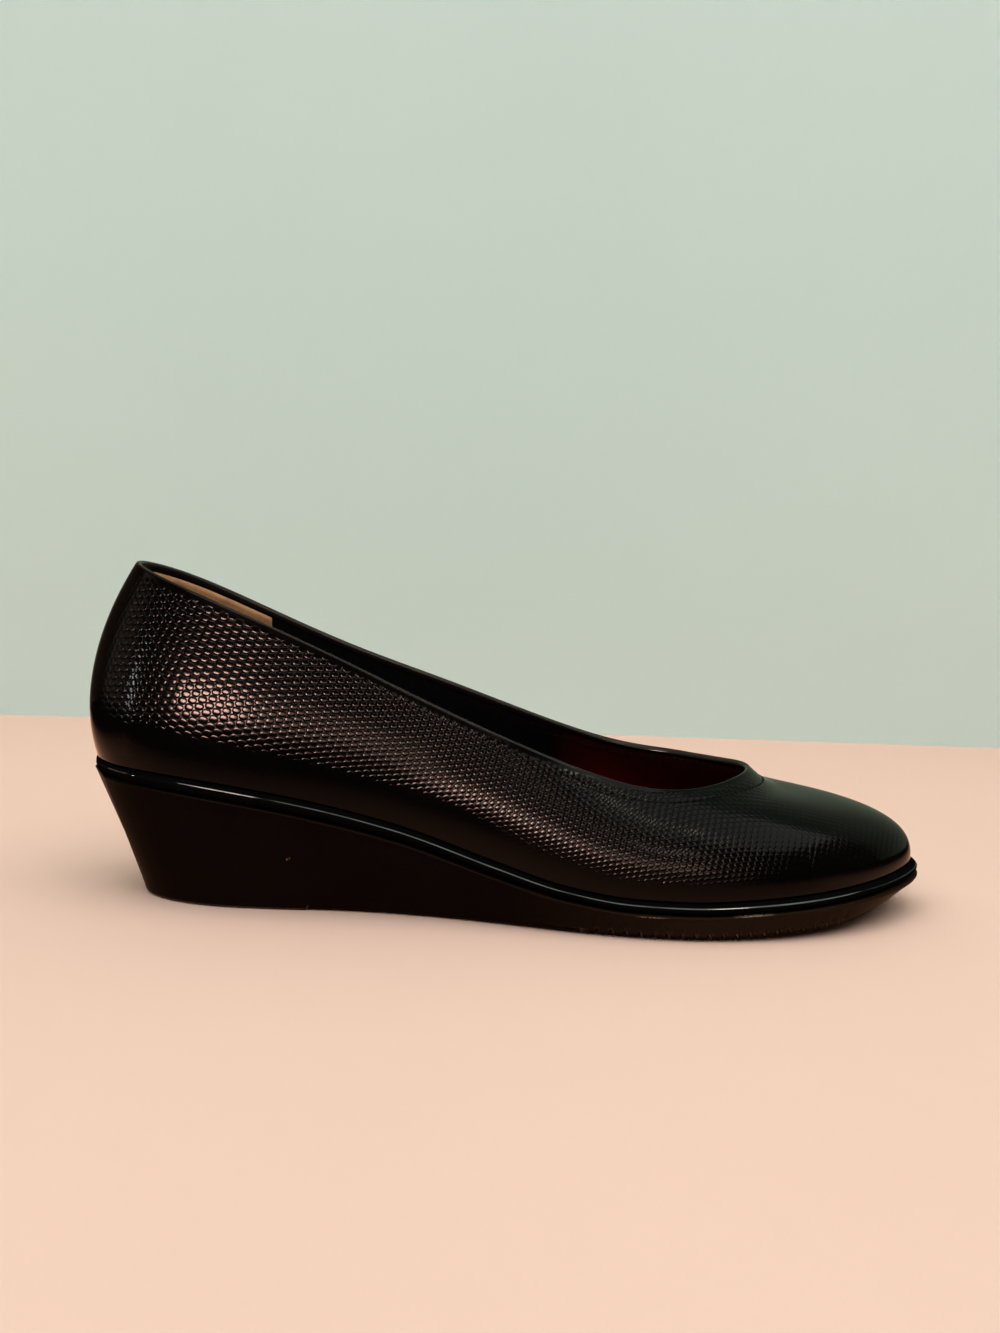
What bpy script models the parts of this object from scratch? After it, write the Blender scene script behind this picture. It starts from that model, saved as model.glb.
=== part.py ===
"""Low wedge court shoe for the right foot: sole, rand, upper and insole.

The shoe stands on its sole with the toe along +X and the inner (medial) side along +Y.
Sizes in the tables are millimetres, x runs from the heel's edge and z from the floor.
"""
import bpy
import numpy as np

MM = 0.001

# Driving dimensions in millimetres
GAP = 0.3
RAND_BACKSET = 0.5
WALL = 1.9
RIM_CROWN = 0.5
INSOLE_THICKNESS = 4.4
INSOLE_EDGE = 0.8
KICK_LENGTH = 11.0
STEEP_REACH = 6.0
VAMP_REACH = 26.0
LIP_EDGE = 0.35
LIP_DEPTH = 1.2
EDGE_ROLL = 2.6
EDGE_RISE_HEEL = 1.2
EDGE_RISE_FORE = 2.0
SHANK_FROM = 66.0
SHANK_TO = 144.0
SHANK_CLEARANCE = 1.9
RIB_FROM = 148.6
RIB_PITCH = 3.9
RIB_COUNT = 19
GROOVE_WIDTH = 1.3
GROOVE_DEPTH = 1.5

# Mesh fineness
SPLITS = 4
OUTER_STEPS = 16
INNER_STEPS = 11
BRIDGE_STEPS = 5
RAND_STEPS = 7
CURVE_STEPS = 121
SHARP_ANGLE = 40.0
CUTTER_HALF_WIDTH = 60.0
CUTTER_DEPTH = 6.0

# One row per section round the foot, from the heel back by the outer side to the toe and home
# foot: the upper's lower edge.  rim: the topline.  margin: how far the sole stands out.
# tuck: how far the sole draws in at the floor.  swell, rise: the lower handle of the side's curve.
# lean, drop: its upper handle.  kick: how far the throat edge stands up.
COLUMNS = ("foot_x", "foot_y", "rim_x", "rim_y", "rim_z",
           "margin", "tuck", "swell", "rise", "lean", "drop", "kick")
SECTIONS = (
    ("heel back", 1.3, 0.0, 12.0, 0.0, 97.0, 0.6, 14.8, 5.8, 17.5, 11.0, 18.0, 0.0),
    ("heel corner outer", 9.5, -17.8, 18.0, -12.6, 95.0, 0.8, 12.4, 5.5, 17.0, 7.5, 18.0, 0.0),
    ("heel side outer", 35.0, -26.3, 36.0, -20.6, 88.6, 1.4, 6.2, 5.0, 17.0, 4.5, 18.0, 0.0),
    ("quarter outer", 72.0, -27.6, 70.0, -24.6, 75.0, 1.6, 5.6, 4.5, 15.0, 4.0, 16.0, 0.0),
    ("waist outer", 107.0, -30.4, 101.0, -26.4, 61.3, 1.7, 4.0, 4.2, 13.0, 4.0, 14.0, 0.0),
    ("shank outer", 137.0, -36.4, 130.0, -29.2, 49.8, 1.7, 2.0, 4.2, 12.0, 5.5, 12.0, 0.0),
    ("ball outer", 166.0, -40.8, 156.0, -29.6, 41.6, 1.7, 0.7, 4.0, 12.0, 8.0, 9.0, 0.0),
    ("forepart outer", 197.0, -38.6, 175.5, -25.2, 39.6, 1.8, 0.7, 3.0, 13.0, 14.0, 5.0, 0.4),
    ("toe side outer", 223.0, -28.8, 188.5, -15.6, 39.0, 2.0, 1.6, 2.0, 13.0, 25.0, 5.0, 2.2),
    ("toe corner outer", 241.0, -12.6, 194.6, -6.0, 37.9, 2.2, 3.2, 1.0, 12.5, 35.0, 5.0, 3.9),
    ("toe tip", 248.0, 3.0, 196.6, 2.2, 37.3, 2.4, 3.8, 0.8, 12.0, 37.5, 4.6, 4.6),
    ("toe corner inner", 243.0, 17.6, 194.8, 9.4, 37.5, 2.2, 3.2, 1.0, 12.5, 35.0, 4.8, 4.3),
    ("toe side inner", 228.0, 30.4, 188.5, 17.0, 38.6, 2.0, 1.6, 2.0, 13.0, 25.0, 5.0, 2.8),
    ("forepart inner", 204.0, 39.0, 176.0, 25.4, 41.3, 1.8, 0.7, 3.0, 13.0, 14.0, 5.0, 0.4),
    ("ball inner", 175.0, 41.6, 157.0, 28.8, 43.8, 1.7, 0.7, 4.0, 12.0, 8.0, 9.0, 0.0),
    ("shank inner", 143.0, 36.0, 132.0, 26.6, 51.4, 1.7, 2.0, 4.2, 12.0, 5.5, 12.0, 0.0),
    ("waist inner", 108.0, 28.2, 102.0, 24.2, 62.0, 1.7, 4.0, 4.2, 13.0, 4.0, 14.0, 0.0),
    ("quarter inner", 72.0, 25.4, 70.0, 22.8, 73.2, 1.6, 5.6, 4.5, 15.0, 4.0, 16.0, 0.0),
    ("heel side inner", 35.0, 25.4, 36.0, 20.0, 87.6, 1.4, 6.2, 5.0, 17.0, 4.5, 18.0, 0.0),
    ("heel corner inner", 9.5, 17.4, 18.0, 12.3, 94.8, 0.8, 12.4, 5.5, 17.0, 7.5, 18.0, 0.0),
)

# Height of the sole's top edge along the shoe, wedge first and toe spring last
SOLE_TOP = ((0, 37.1), (30, 34.1), (60, 29.7), (90, 23.4), (120, 14.6), (140, 9.7), (158, 7.7),
            (175, 7.4), (196, 8.3), (215, 9.5), (232, 10.6), (250, 11.6))

# Height of the rand along the shoe: it is deepest beside the wedge
RAND = ((0, 2.8), (25, 3.7), (60, 4.0), (100, 3.8), (150, 3.1), (250, 3.3))

# Height of the tread along the shoe: flat to the ball, then the toe spring
TREAD = ((0, 0.0), (100, 0.0), (177, 0.0), (190, 0.5), (203, 1.4), (217, 2.3), (229, 3.4),
         (240, 4.9), (250, 7.0))


def start_empty():
    """Remove every object that the new file came with."""
    for thing in list(bpy.data.objects):
        bpy.data.objects.remove(thing, do_unlink=True)


def along(rows, x):
    """Height at x on a smooth curve through the rows that never overshoots them."""
    knots = np.array(rows, float)
    step = np.diff(knots[:, 0])
    slope = np.diff(knots[:, 1]) / step
    inside = np.where(slope[1:] * slope[:-1] > 0,
                      2 * slope[1:] * slope[:-1] / (slope[1:] + slope[:-1] + 1e-12), 0.0)
    tangent = np.concatenate([slope[:1], inside, slope[-1:]])
    x = np.clip(x, knots[0, 0], knots[-1, 0])
    i = np.clip(np.searchsorted(knots[:, 0], x) - 1, 0, len(step) - 1)
    t = (x - knots[i, 0]) / step[i]
    return ((1 + 2 * t) * (1 - t) ** 2 * knots[i, 1] + t * (1 - t) ** 2 * step[i] * tangent[i]
            + t * t * (3 - 2 * t) * knots[i + 1, 1] - t * t * (1 - t) * step[i] * tangent[i + 1])


def around(values):
    """Closed cubic spline through one value per section, read SPLITS times per section."""
    p = np.array(values, float)
    n = len(p)
    ring = 4 * np.eye(n) + np.roll(np.eye(n), 1, 1) + np.roll(np.eye(n), -1, 1)
    m = np.linalg.solve(ring, 3 * (np.roll(p, -1) - np.roll(p, 1)))
    t = (np.arange(SPLITS) / SPLITS)[None, :]
    a, b, ma, mb = (v[:, None] for v in (p, np.roll(p, -1), m, np.roll(m, -1)))
    out = ((1 + 2 * t) * (1 - t) ** 2 * a + t * (1 - t) ** 2 * ma
           + t * t * (3 - 2 * t) * b - t * t * (1 - t) * mb)
    return out.ravel()


def read_sections():
    """Every column of the section table as a smooth closed run of values."""
    rows = np.array([row[1:] for row in SECTIONS], float)
    return {name: around(rows[:, i]) for i, name in enumerate(COLUMNS)}


def outward(x, y):
    """Unit plan normals of a closed outline that runs from the heel by the outer side."""
    dx = np.roll(x, -1) - np.roll(x, 1)
    dy = np.roll(y, -1) - np.roll(y, 1)
    length = np.hypot(dx, dy)
    return np.stack([dy / length, -dx / length], 1)


def ring_at(shape, offset, z):
    """The foot outline pushed out by offset, at height z."""
    plan = shape["plan"] + shape["normal"] * np.broadcast_to(offset, shape["top"].shape)[:, None]
    return np.column_stack([plan, np.broadcast_to(z, shape["top"].shape)])


def make_shape():
    """Shared plan outline, its normals and the heights under it."""
    shape = read_sections()
    shape["plan"] = np.column_stack([shape["foot_x"], shape["foot_y"]])
    shape["normal"] = outward(shape["foot_x"], shape["foot_y"])
    shape["top"] = along(SOLE_TOP, shape["foot_x"])
    shape["rand"] = along(RAND, shape["foot_x"])
    shape["foot_z"] = shape["top"] + shape["rand"] + 2 * GAP
    return shape


def wall_faces(rings, count):
    """Quads between consecutive rings of count points, numbered ring by ring."""
    faces = []
    for k in range(rings - 1):
        for i in range(count):
            j = (i + 1) % count
            faces.append((k * count + i, k * count + j, (k + 1) * count + j, (k + 1) * count + i))
    return faces


def bridge(ring, height, first, start, flip):
    """Close a ring with rungs from the outer to the inner side, at the height its x asks for.

    first is the index of the ring's first point and start the next free index.
    """
    count = len(ring)
    half = count // 2
    points = []
    rungs = [[first] * (BRIDGE_STEPS + 1)]
    for i in range(1, half):
        a, b = ring[i], ring[count - i]
        rung = [first + i]
        for k in range(1, BRIDGE_STEPS):
            x, y = (a + (b - a) * k / BRIDGE_STEPS)[:2]
            rung.append(start + len(points))
            points.append((x, y, float(height(np.array([x]))[0])))
        rung.append(first + count - i)
        rungs.append(rung)
    rungs.append([first + half] * (BRIDGE_STEPS + 1))
    faces = []
    for low, high in zip(rungs[:-1], rungs[1:]):
        for k in range(BRIDGE_STEPS):
            face = list(dict.fromkeys((low[k], high[k], high[k + 1], low[k + 1])))
            faces.append(tuple(reversed(face)) if flip else tuple(face))
    return points, faces


def slab(rings, top_height, bottom_height):
    """Closed solid from rings that run from the top edge to the bottom edge."""
    count = len(rings[0])
    points = [tuple(p) for ring in rings for p in ring]
    faces = [face[::-1] for face in wall_faces(len(rings), count)]
    extra, lid = bridge(rings[0], top_height, 0, len(points), False)
    points += extra
    under, base = bridge(rings[-1], bottom_height, (len(rings) - 1) * count, len(points), True)
    points += under
    return points, faces + lid + base


def hoop(rings):
    """Closed ring-shaped solid whose rings run once round its own section."""
    points = [tuple(p) for ring in rings for p in ring]
    faces = wall_faces(len(rings) + 1, len(rings[0]))
    return points, [tuple(v % len(points) for v in face) for face in faces]


def material(name, colour, roughness):
    """Plain surface with the piece's colour and gloss."""
    made = bpy.data.materials.new(name)
    made.use_nodes = True
    surface = made.node_tree.nodes["Principled BSDF"]
    surface.inputs["Base Color"].default_value = (*colour, 1.0)
    surface.inputs["Roughness"].default_value = roughness
    surface.inputs["Metallic"].default_value = 0.0
    return made


def add_piece(name, points, faces, look):
    """Put a mesh in the scene as one smooth-shaded object, in metres."""
    mesh = bpy.data.meshes.new(name)
    mesh.from_pydata((np.array(points) * MM).tolist(), [], faces)
    mesh.shade_smooth()
    mesh.set_sharp_from_angle(angle=np.radians(SHARP_ANGLE))
    piece = bpy.data.objects.new(name, mesh)
    piece.data.materials.append(look)
    bpy.context.scene.collection.objects.link(piece)
    return piece


def upper_surface(shape, steps):
    """Outer face of the upper as rings from the foot to the rim, evenly spaced by length.

    Each side line is a cubic curve from the foot edge to the rim; the kick lifts its last part.
    """
    foot = np.column_stack([shape["plan"], shape["foot_z"]])
    rim = np.column_stack([shape["rim_x"], shape["rim_y"], shape["rim_z"]])
    flat = np.column_stack([shape["normal"], np.zeros(len(foot))])
    up = np.array([0.0, 0.0, 1.0])
    back = foot - rim
    back[:, 2] = 0.0
    reach = np.linalg.norm(back, axis=1, keepdims=True)
    share = np.clip((reach - STEEP_REACH) / (VAMP_REACH - STEEP_REACH), 0.0, 1.0)
    away = flat * (1 - share) + back / reach * share
    away /= np.linalg.norm(away, axis=1, keepdims=True)
    low = foot + flat * shape["swell"][:, None] + up * shape["rise"][:, None]
    high = rim + away * shape["lean"][:, None] - up * shape["drop"][:, None]
    t = np.linspace(0.0, 1.0, CURVE_STEPS)[:, None, None]
    curve = (1 - t) ** 3 * foot + 3 * t * (1 - t) ** 2 * low + 3 * t * t * (1 - t) * high + t ** 3 * rim
    run = np.concatenate([np.zeros((1, len(foot))),
                          np.cumsum(np.linalg.norm(np.diff(curve, axis=0), axis=2), axis=0)])
    to_rim = run[-1] - run
    curve[..., 2] += shape["kick"] * np.clip(1 - to_rim / KICK_LENGTH, 0.0, 1.0) ** 2
    rings = []
    for share in np.linspace(0.0, 1.0, steps + 1):
        ring = [[np.interp(share * run[-1, i], run[:, i], curve[:, i, a]) for a in range(3)]
                for i in range(len(foot))]
        rings.append(np.array(ring))
    return rings


def surface_normals(rings):
    """Outward unit normals of a surface given as rings from the foot to the rim."""
    grid = np.array(rings)
    rise = np.gradient(grid, axis=0)
    turn = np.roll(grid, -1, axis=1) - np.roll(grid, 1, axis=1)
    normal = np.cross(turn, rise)
    return normal / np.linalg.norm(normal, axis=2, keepdims=True)


def make_upper(shape):
    """One wall of even thickness, open at the topline and underneath, with a rounded rim."""
    outer = upper_surface(shape, OUTER_STEPS)
    inner = upper_surface(shape, INNER_STEPS)
    lining = [ring - WALL * n for ring, n in zip(inner, surface_normals(inner))]
    lining[0] = ring_at(shape, -WALL, shape["foot_z"])
    crown = 0.5 * (outer[-1] + lining[-1])
    rise = outer[-1] - outer[-2]
    crown += RIM_CROWN * rise / np.linalg.norm(rise, axis=1, keepdims=True)
    points, faces = hoop(outer + [crown] + lining[::-1])
    return add_piece("upper", points, faces, material("black embossed leather", (0.012, 0.011, 0.012), 0.35))


def make_rand(shape):
    """Half-round bead that lies on the sole's edge and carries the upper."""
    low = shape["top"] + GAP
    high = low + shape["rand"]
    crest = shape["margin"] - RAND_BACKSET
    inner = -WALL
    rings = [ring_at(shape, inner, low)]
    for angle in np.linspace(-np.pi / 2, np.pi / 2, RAND_STEPS):
        middle = 0.5 * (low + high) + 0.5 * shape["rand"] * np.sin(angle)
        rings.append(ring_at(shape, crest * np.cos(angle), middle))
    rings.append(ring_at(shape, inner, high))
    points, faces = hoop(rings)
    return add_piece("rand", points, faces, material("glossy black bead", (0.008, 0.008, 0.009), 0.18))


def make_insole(shape):
    """Board with its cover that fills the shoe's floor inside the rand and the upper."""
    inset = -WALL - GAP
    low = shape["top"] + GAP
    high = low + INSOLE_THICKNESS
    rings = [
        ring_at(shape, inset - INSOLE_EDGE, high),
        ring_at(shape, inset, high - INSOLE_EDGE),
        ring_at(shape, inset, low),
    ]
    points, faces = slab(rings, lambda x: along(SOLE_TOP, x) + GAP + INSOLE_THICKNESS,
                         lambda x: along(SOLE_TOP, x) + GAP)
    return add_piece("insole", points, faces, material("dark red sock", (0.035, 0.010, 0.009), 0.6))


def block(x0, x1, top):
    """Corner points and faces of a block across the sole, from below the floor up to top."""
    wide = CUTTER_HALF_WIDTH
    corners = ((x0, -wide), (x1, -wide), (x1, wide), (x0, wide))
    points = [(x, y, z) for z in (-CUTTER_DEPTH, top) for x, y in corners]
    faces = [(3, 2, 1, 0), (4, 5, 6, 7), (0, 1, 5, 4), (1, 2, 6, 5), (2, 3, 7, 6), (3, 0, 4, 7)]
    return points, faces


def make_tread_cutter():
    """Blocks that clear the shank off the floor and part the forefoot into cross ribs."""
    spans = [(SHANK_FROM, SHANK_TO, SHANK_CLEARANCE)]
    for i in range(RIB_COUNT):
        middle = RIB_FROM + i * RIB_PITCH
        top = GROOVE_DEPTH + float(along(TREAD, np.array([middle]))[0])
        spans.append((middle - GROOVE_WIDTH / 2, middle + GROOVE_WIDTH / 2, top))
    points, faces = [], []
    for span in spans:
        more, quads = block(*span)
        faces += [tuple(v + len(points) for v in quad) for quad in quads]
        points += more
    cutter = add_piece("tread_cutter", points, faces, material("cutter", (0.5, 0.5, 0.5), 0.5))
    cutter.hide_render = True
    cutter.display_type = "WIRE"
    return cutter


def make_sole(shape):
    """Wedge unit with a lip along its top edge, a tucked-in heel and a ribbed forefoot."""
    edge = shape["margin"]
    rise = np.interp(shape["foot_x"], (SHANK_FROM, SHANK_TO), (EDGE_RISE_HEEL, EDGE_RISE_FORE))
    rings = [
        ring_at(shape, edge - LIP_EDGE, shape["top"]),
        ring_at(shape, edge, shape["top"] - LIP_EDGE),
        ring_at(shape, edge - LIP_EDGE, shape["top"] - LIP_DEPTH),
    ]
    base = ring_at(shape, edge - LIP_EDGE - shape["tuck"], 0.0)
    base[:, 2] = along(TREAD, base[:, 0]) + rise
    tread = ring_at(shape, edge - LIP_EDGE - shape["tuck"] - EDGE_ROLL, 0.0)
    tread[:, 2] = along(TREAD, tread[:, 0])
    rings += [0.5 * (rings[-1] + base), base, tread]
    points, faces = slab(rings, lambda x: along(SOLE_TOP, x), lambda x: along(TREAD, x))
    sole = add_piece("sole", points, faces, material("dark brown rubber", (0.020, 0.015, 0.012), 0.55))
    cut = sole.modifiers.new("tread", "BOOLEAN")
    cut.operation = "DIFFERENCE"
    cut.solver = "EXACT"
    cut.object = make_tread_cutter()
    return sole


def centre_on_floor(pieces):
    """Move every piece so that the shoe's box is centred on the origin and stands on the floor."""
    corners = np.array([v.co for piece in pieces for v in piece.data.vertices])
    middle = 0.5 * (corners.min(0) + corners.max(0))
    for thing in bpy.data.objects:
        for v in thing.data.vertices:
            v.co.x -= middle[0]
            v.co.y -= middle[1]


def main():
    start_empty()
    shape = make_shape()
    centre_on_floor([make_sole(shape), make_rand(shape), make_upper(shape), make_insole(shape)])


main()
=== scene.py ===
# %% [markdown]
# # A low wedge court shoe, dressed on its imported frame
#
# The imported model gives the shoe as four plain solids: sole, rand, upper and insole. This lesson makes
# the surface that a hand would feel and an eye would see, piece by piece, in the order in which a
# shoemaker closes a shoe. Every new piece is a numpy surface laid on the same last as the solids.

import bpy
import numpy as np
from mathutils import Matrix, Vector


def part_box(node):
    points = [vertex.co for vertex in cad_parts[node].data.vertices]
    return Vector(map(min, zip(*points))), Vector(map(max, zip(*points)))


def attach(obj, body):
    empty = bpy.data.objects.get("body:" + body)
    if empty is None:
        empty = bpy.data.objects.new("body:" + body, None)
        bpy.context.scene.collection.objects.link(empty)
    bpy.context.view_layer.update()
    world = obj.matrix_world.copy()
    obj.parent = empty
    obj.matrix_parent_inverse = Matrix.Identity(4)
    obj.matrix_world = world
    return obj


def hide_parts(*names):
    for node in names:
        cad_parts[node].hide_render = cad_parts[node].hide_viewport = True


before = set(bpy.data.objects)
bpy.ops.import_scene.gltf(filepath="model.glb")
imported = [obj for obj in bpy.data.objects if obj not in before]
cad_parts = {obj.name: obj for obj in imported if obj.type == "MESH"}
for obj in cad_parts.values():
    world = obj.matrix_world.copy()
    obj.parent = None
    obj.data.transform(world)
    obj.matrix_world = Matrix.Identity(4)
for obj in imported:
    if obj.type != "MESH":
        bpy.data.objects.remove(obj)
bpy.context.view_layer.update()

MM = 0.001
print("nodes", sorted(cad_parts))

# %% [markdown]
# ## The last
#
# A shoe is built on a last, a foot-shaped block, and its pieces take their form from it. The last could
# be sculpted, but a table is easier to check against a ruler: twenty sections round the foot, each with
# the foot edge, the topline and the two handles of the curve between them. The sizes are millimetres,
# x runs forward from the heel's edge and z up from the floor, and the outer side is at negative y.

# %% The section table
COLUMNS = ("foot_x", "foot_y", "rim_x", "rim_y", "rim_z",
           "margin", "tuck", "swell", "rise", "lean", "drop", "kick")
SECTIONS = (
    ("heel back", 1.3, 0.0, 12.0, 0.0, 97.0, 0.6, 14.8, 5.8, 17.5, 11.0, 18.0, 0.0),
    ("heel corner outer", 9.5, -17.8, 18.0, -12.6, 95.0, 0.8, 12.4, 5.5, 17.0, 7.5, 18.0, 0.0),
    ("heel side outer", 35.0, -26.3, 36.0, -20.6, 88.6, 1.4, 6.2, 5.0, 17.0, 4.5, 18.0, 0.0),
    ("quarter outer", 72.0, -27.6, 70.0, -24.6, 75.0, 1.6, 5.6, 4.5, 15.0, 4.0, 16.0, 0.0),
    ("waist outer", 107.0, -30.4, 101.0, -26.4, 61.3, 1.7, 4.0, 4.2, 13.0, 4.0, 14.0, 0.0),
    ("shank outer", 137.0, -36.4, 130.0, -29.2, 49.8, 1.7, 2.0, 4.2, 12.0, 5.5, 12.0, 0.0),
    ("ball outer", 166.0, -40.8, 156.0, -29.6, 41.6, 1.7, 0.7, 4.0, 12.0, 8.0, 9.0, 0.0),
    ("forepart outer", 197.0, -38.6, 175.5, -25.2, 39.6, 1.8, 0.7, 3.0, 13.0, 14.0, 5.0, 0.4),
    ("toe side outer", 223.0, -28.8, 188.5, -15.6, 39.0, 2.0, 1.6, 2.0, 13.0, 25.0, 5.0, 2.2),
    ("toe corner outer", 241.0, -12.6, 194.6, -6.0, 37.9, 2.2, 3.2, 1.0, 12.5, 35.0, 5.0, 3.9),
    ("toe tip", 248.0, 3.0, 196.6, 2.2, 37.3, 2.4, 3.8, 0.8, 12.0, 37.5, 4.6, 4.6),
    ("toe corner inner", 243.0, 17.6, 194.8, 9.4, 37.5, 2.2, 3.2, 1.0, 12.5, 35.0, 4.8, 4.3),
    ("toe side inner", 228.0, 30.4, 188.5, 17.0, 38.6, 2.0, 1.6, 2.0, 13.0, 25.0, 5.0, 2.8),
    ("forepart inner", 204.0, 39.0, 176.0, 25.4, 41.3, 1.8, 0.7, 3.0, 13.0, 14.0, 5.0, 0.4),
    ("ball inner", 175.0, 41.6, 157.0, 28.8, 43.8, 1.7, 0.7, 4.0, 12.0, 8.0, 9.0, 0.0),
    ("shank inner", 143.0, 36.0, 132.0, 26.6, 51.4, 1.7, 2.0, 4.2, 12.0, 5.5, 12.0, 0.0),
    ("waist inner", 108.0, 28.2, 102.0, 24.2, 62.0, 1.7, 4.0, 4.2, 13.0, 4.0, 14.0, 0.0),
    ("quarter inner", 72.0, 25.4, 70.0, 22.8, 73.2, 1.6, 5.6, 4.5, 15.0, 4.0, 16.0, 0.0),
    ("heel side inner", 35.0, 25.4, 36.0, 20.0, 87.6, 1.4, 6.2, 5.0, 17.0, 4.5, 18.0, 0.0),
    ("heel corner inner", 9.5, 17.4, 18.0, 12.3, 94.8, 0.8, 12.4, 5.5, 17.0, 7.5, 18.0, 0.0),
)
TURN = len(SECTIONS)

# Heights along the shoe: the sole's top edge, the rand's own height, and the tread with its toe spring
SOLE_TOP = ((0, 37.1), (30, 34.1), (60, 29.7), (90, 23.4), (120, 14.6), (140, 9.7), (158, 7.7),
            (175, 7.4), (196, 8.3), (215, 9.5), (232, 10.6), (250, 11.6))
RAND = ((0, 2.8), (25, 3.7), (60, 4.0), (100, 3.8), (150, 3.1), (250, 3.3))
TREAD = ((0, 0.0), (100, 0.0), (177, 0.0), (190, 0.5), (203, 1.4), (217, 2.3), (229, 3.4),
         (240, 4.9), (250, 7.0))
GAP = 0.3
WALL = 1.9
print(TURN, "sections round the foot,", len(COLUMNS), "values each")

# %% [markdown]
# ## Curves between the sections
#
# Twenty sections give twenty points, and a shoe is smooth between them. Straight lines would show as
# facets, so two kinds of curve are used: a cubic that never overshoots for heights along the shoe, and a
# closed spline for everything that runs round the foot.

# %% Curves through the table


def along(rows, x):
    """Height at x: Hermite cubics whose slope at a row is the harmonic mean of its two neighbours."""
    knots = np.array(rows, float)
    step = np.diff(knots[:, 0])
    slope = np.diff(knots[:, 1]) / step
    inside = np.where(slope[1:] * slope[:-1] > 0,
                      2 * slope[1:] * slope[:-1] / (slope[1:] + slope[:-1] + 1e-12), 0.0)
    tangent = np.concatenate([slope[:1], inside, slope[-1:]])
    x = np.clip(x, knots[0, 0], knots[-1, 0])
    i = np.clip(np.searchsorted(knots[:, 0], x) - 1, 0, len(step) - 1)
    t = (x - knots[i, 0]) / step[i]
    return ((1 + 2 * t) * (1 - t) ** 2 * knots[i, 1] + t * (1 - t) ** 2 * step[i] * tangent[i]
            + t * t * (3 - 2 * t) * knots[i + 1, 1] - t * t * (1 - t) * step[i] * tangent[i + 1])


def around(values, t):
    """Closed cubic spline through one value per section, read at section numbers t.

    The slopes m solve m[i-1] + 4 m[i] + m[i+1] = 3 (p[i+1] - p[i-1]) round the ring, and each span is
    the Hermite cubic of its two values and slopes.
    """
    p = np.array(values, float)
    n = len(p)
    ring = 4 * np.eye(n) + np.roll(np.eye(n), 1, 1) + np.roll(np.eye(n), -1, 1)
    m = np.linalg.solve(ring, 3 * (np.roll(p, -1) - np.roll(p, 1)))
    whole = np.floor(t).astype(int)
    s = t - whole
    a, b = whole % n, (whole + 1) % n
    return ((1 + 2 * s) * (1 - s) ** 2 * p[a] + s * (1 - s) ** 2 * m[a]
            + s * s * (3 - 2 * s) * p[b] - s * s * (1 - s) * m[b])


SLOPE_STEP = 0.05


def last_at(t):
    """Every column of the table at section numbers t, with the foot outline's plan normal and heights.

    The normal is the outline's tangent, a central difference in t, turned a quarter to the outside.
    """
    table = np.array([row[1:] for row in SECTIONS], float)
    last = {name: around(table[:, i], t) for i, name in enumerate(COLUMNS)}
    dx = around(table[:, 0], t + SLOPE_STEP) - around(table[:, 0], t - SLOPE_STEP)
    dy = around(table[:, 1], t + SLOPE_STEP) - around(table[:, 1], t - SLOPE_STEP)
    length = np.hypot(dx, dy)
    last["plan"] = np.column_stack([last["foot_x"], last["foot_y"]])
    last["tangent"] = np.column_stack([dx, dy]) / length[:, None]
    last["normal"] = np.column_stack([dy, -dx]) / length[:, None]
    last["top"] = along(SOLE_TOP, last["foot_x"])
    last["rand"] = along(RAND, last["foot_x"])
    last["foot_z"] = last["top"] + last["rand"] + 2 * GAP
    return last


def ring_at(last, offset, z):
    """The foot outline pushed out by offset along its normal, at height z."""
    count = len(last["top"])
    plan = last["plan"] + last["normal"] * np.broadcast_to(offset, count)[:, None]
    return np.column_stack([plan, np.broadcast_to(z, count)])


ball = last_at(np.array([6.0]))
print("at the ball the sole is", np.round(ball["top"], 2), "mm high and the rand", np.round(ball["rand"], 2))

# %% [markdown]
# ## The frame's origin
#
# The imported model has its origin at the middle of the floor, and the table starts at the heel. The shift
# between the two could be typed in, but the sole's box in the frame gives it without a second measurement.

# %% Laying the table on the frame
outline = last_at(np.linspace(0, TURN, 2000, endpoint=False))
lip = ring_at(outline, outline["margin"], outline["top"])
sole_low, sole_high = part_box("sole")
SHIFT = np.array([
    lip[:, 0].max() - sole_high.x / MM,
    0.5 * (lip[:, 1].max() + lip[:, 1].min() - (sole_high.y + sole_low.y) / MM),
    0.0,
])
print("heel edge lies", np.round(SHIFT, 2), "mm behind the frame's origin")

# %% [markdown]
# ## From grids to meshes
#
# A surface that is a function of two numbers becomes a mesh when the two numbers run over a grid: each
# small square of the grid is one face. Most pieces of a shoe are hoops, grids that close on themselves,
# so these helpers join the last row or column to the first where that is asked for.

# %% Grid helpers


def grid_faces(rows, cols, close_rows=False, close_cols=False, first=0):
    """Corner numbers of the quads of a grid: (r, c), (r, c+1), (r+1, c+1), (r+1, c), wrapped if closed."""
    r, c = np.meshgrid(np.arange(rows - (not close_rows)), np.arange(cols - (not close_cols)), indexing="ij")
    below, beside = (r + 1) % rows, (c + 1) % cols
    quads = np.stack([r * cols + c, r * cols + beside, below * cols + beside, below * cols + c], -1)
    return first + quads.reshape(-1, 4)


def hoop_faces(points):
    """Corner numbers of a grid that closes on itself both ways."""
    return grid_faces(*points.shape[:2], close_rows=True, close_cols=True)


def grid_normals(points):
    """Unit normals of a grid closed round its columns: round-step cross up-step."""
    rise = np.gradient(points, axis=0)
    turn = np.roll(points, -1, axis=1) - np.roll(points, 1, axis=1)
    normal = np.cross(turn, rise)
    return normal / np.linalg.norm(normal, axis=-1, keepdims=True)


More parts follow.
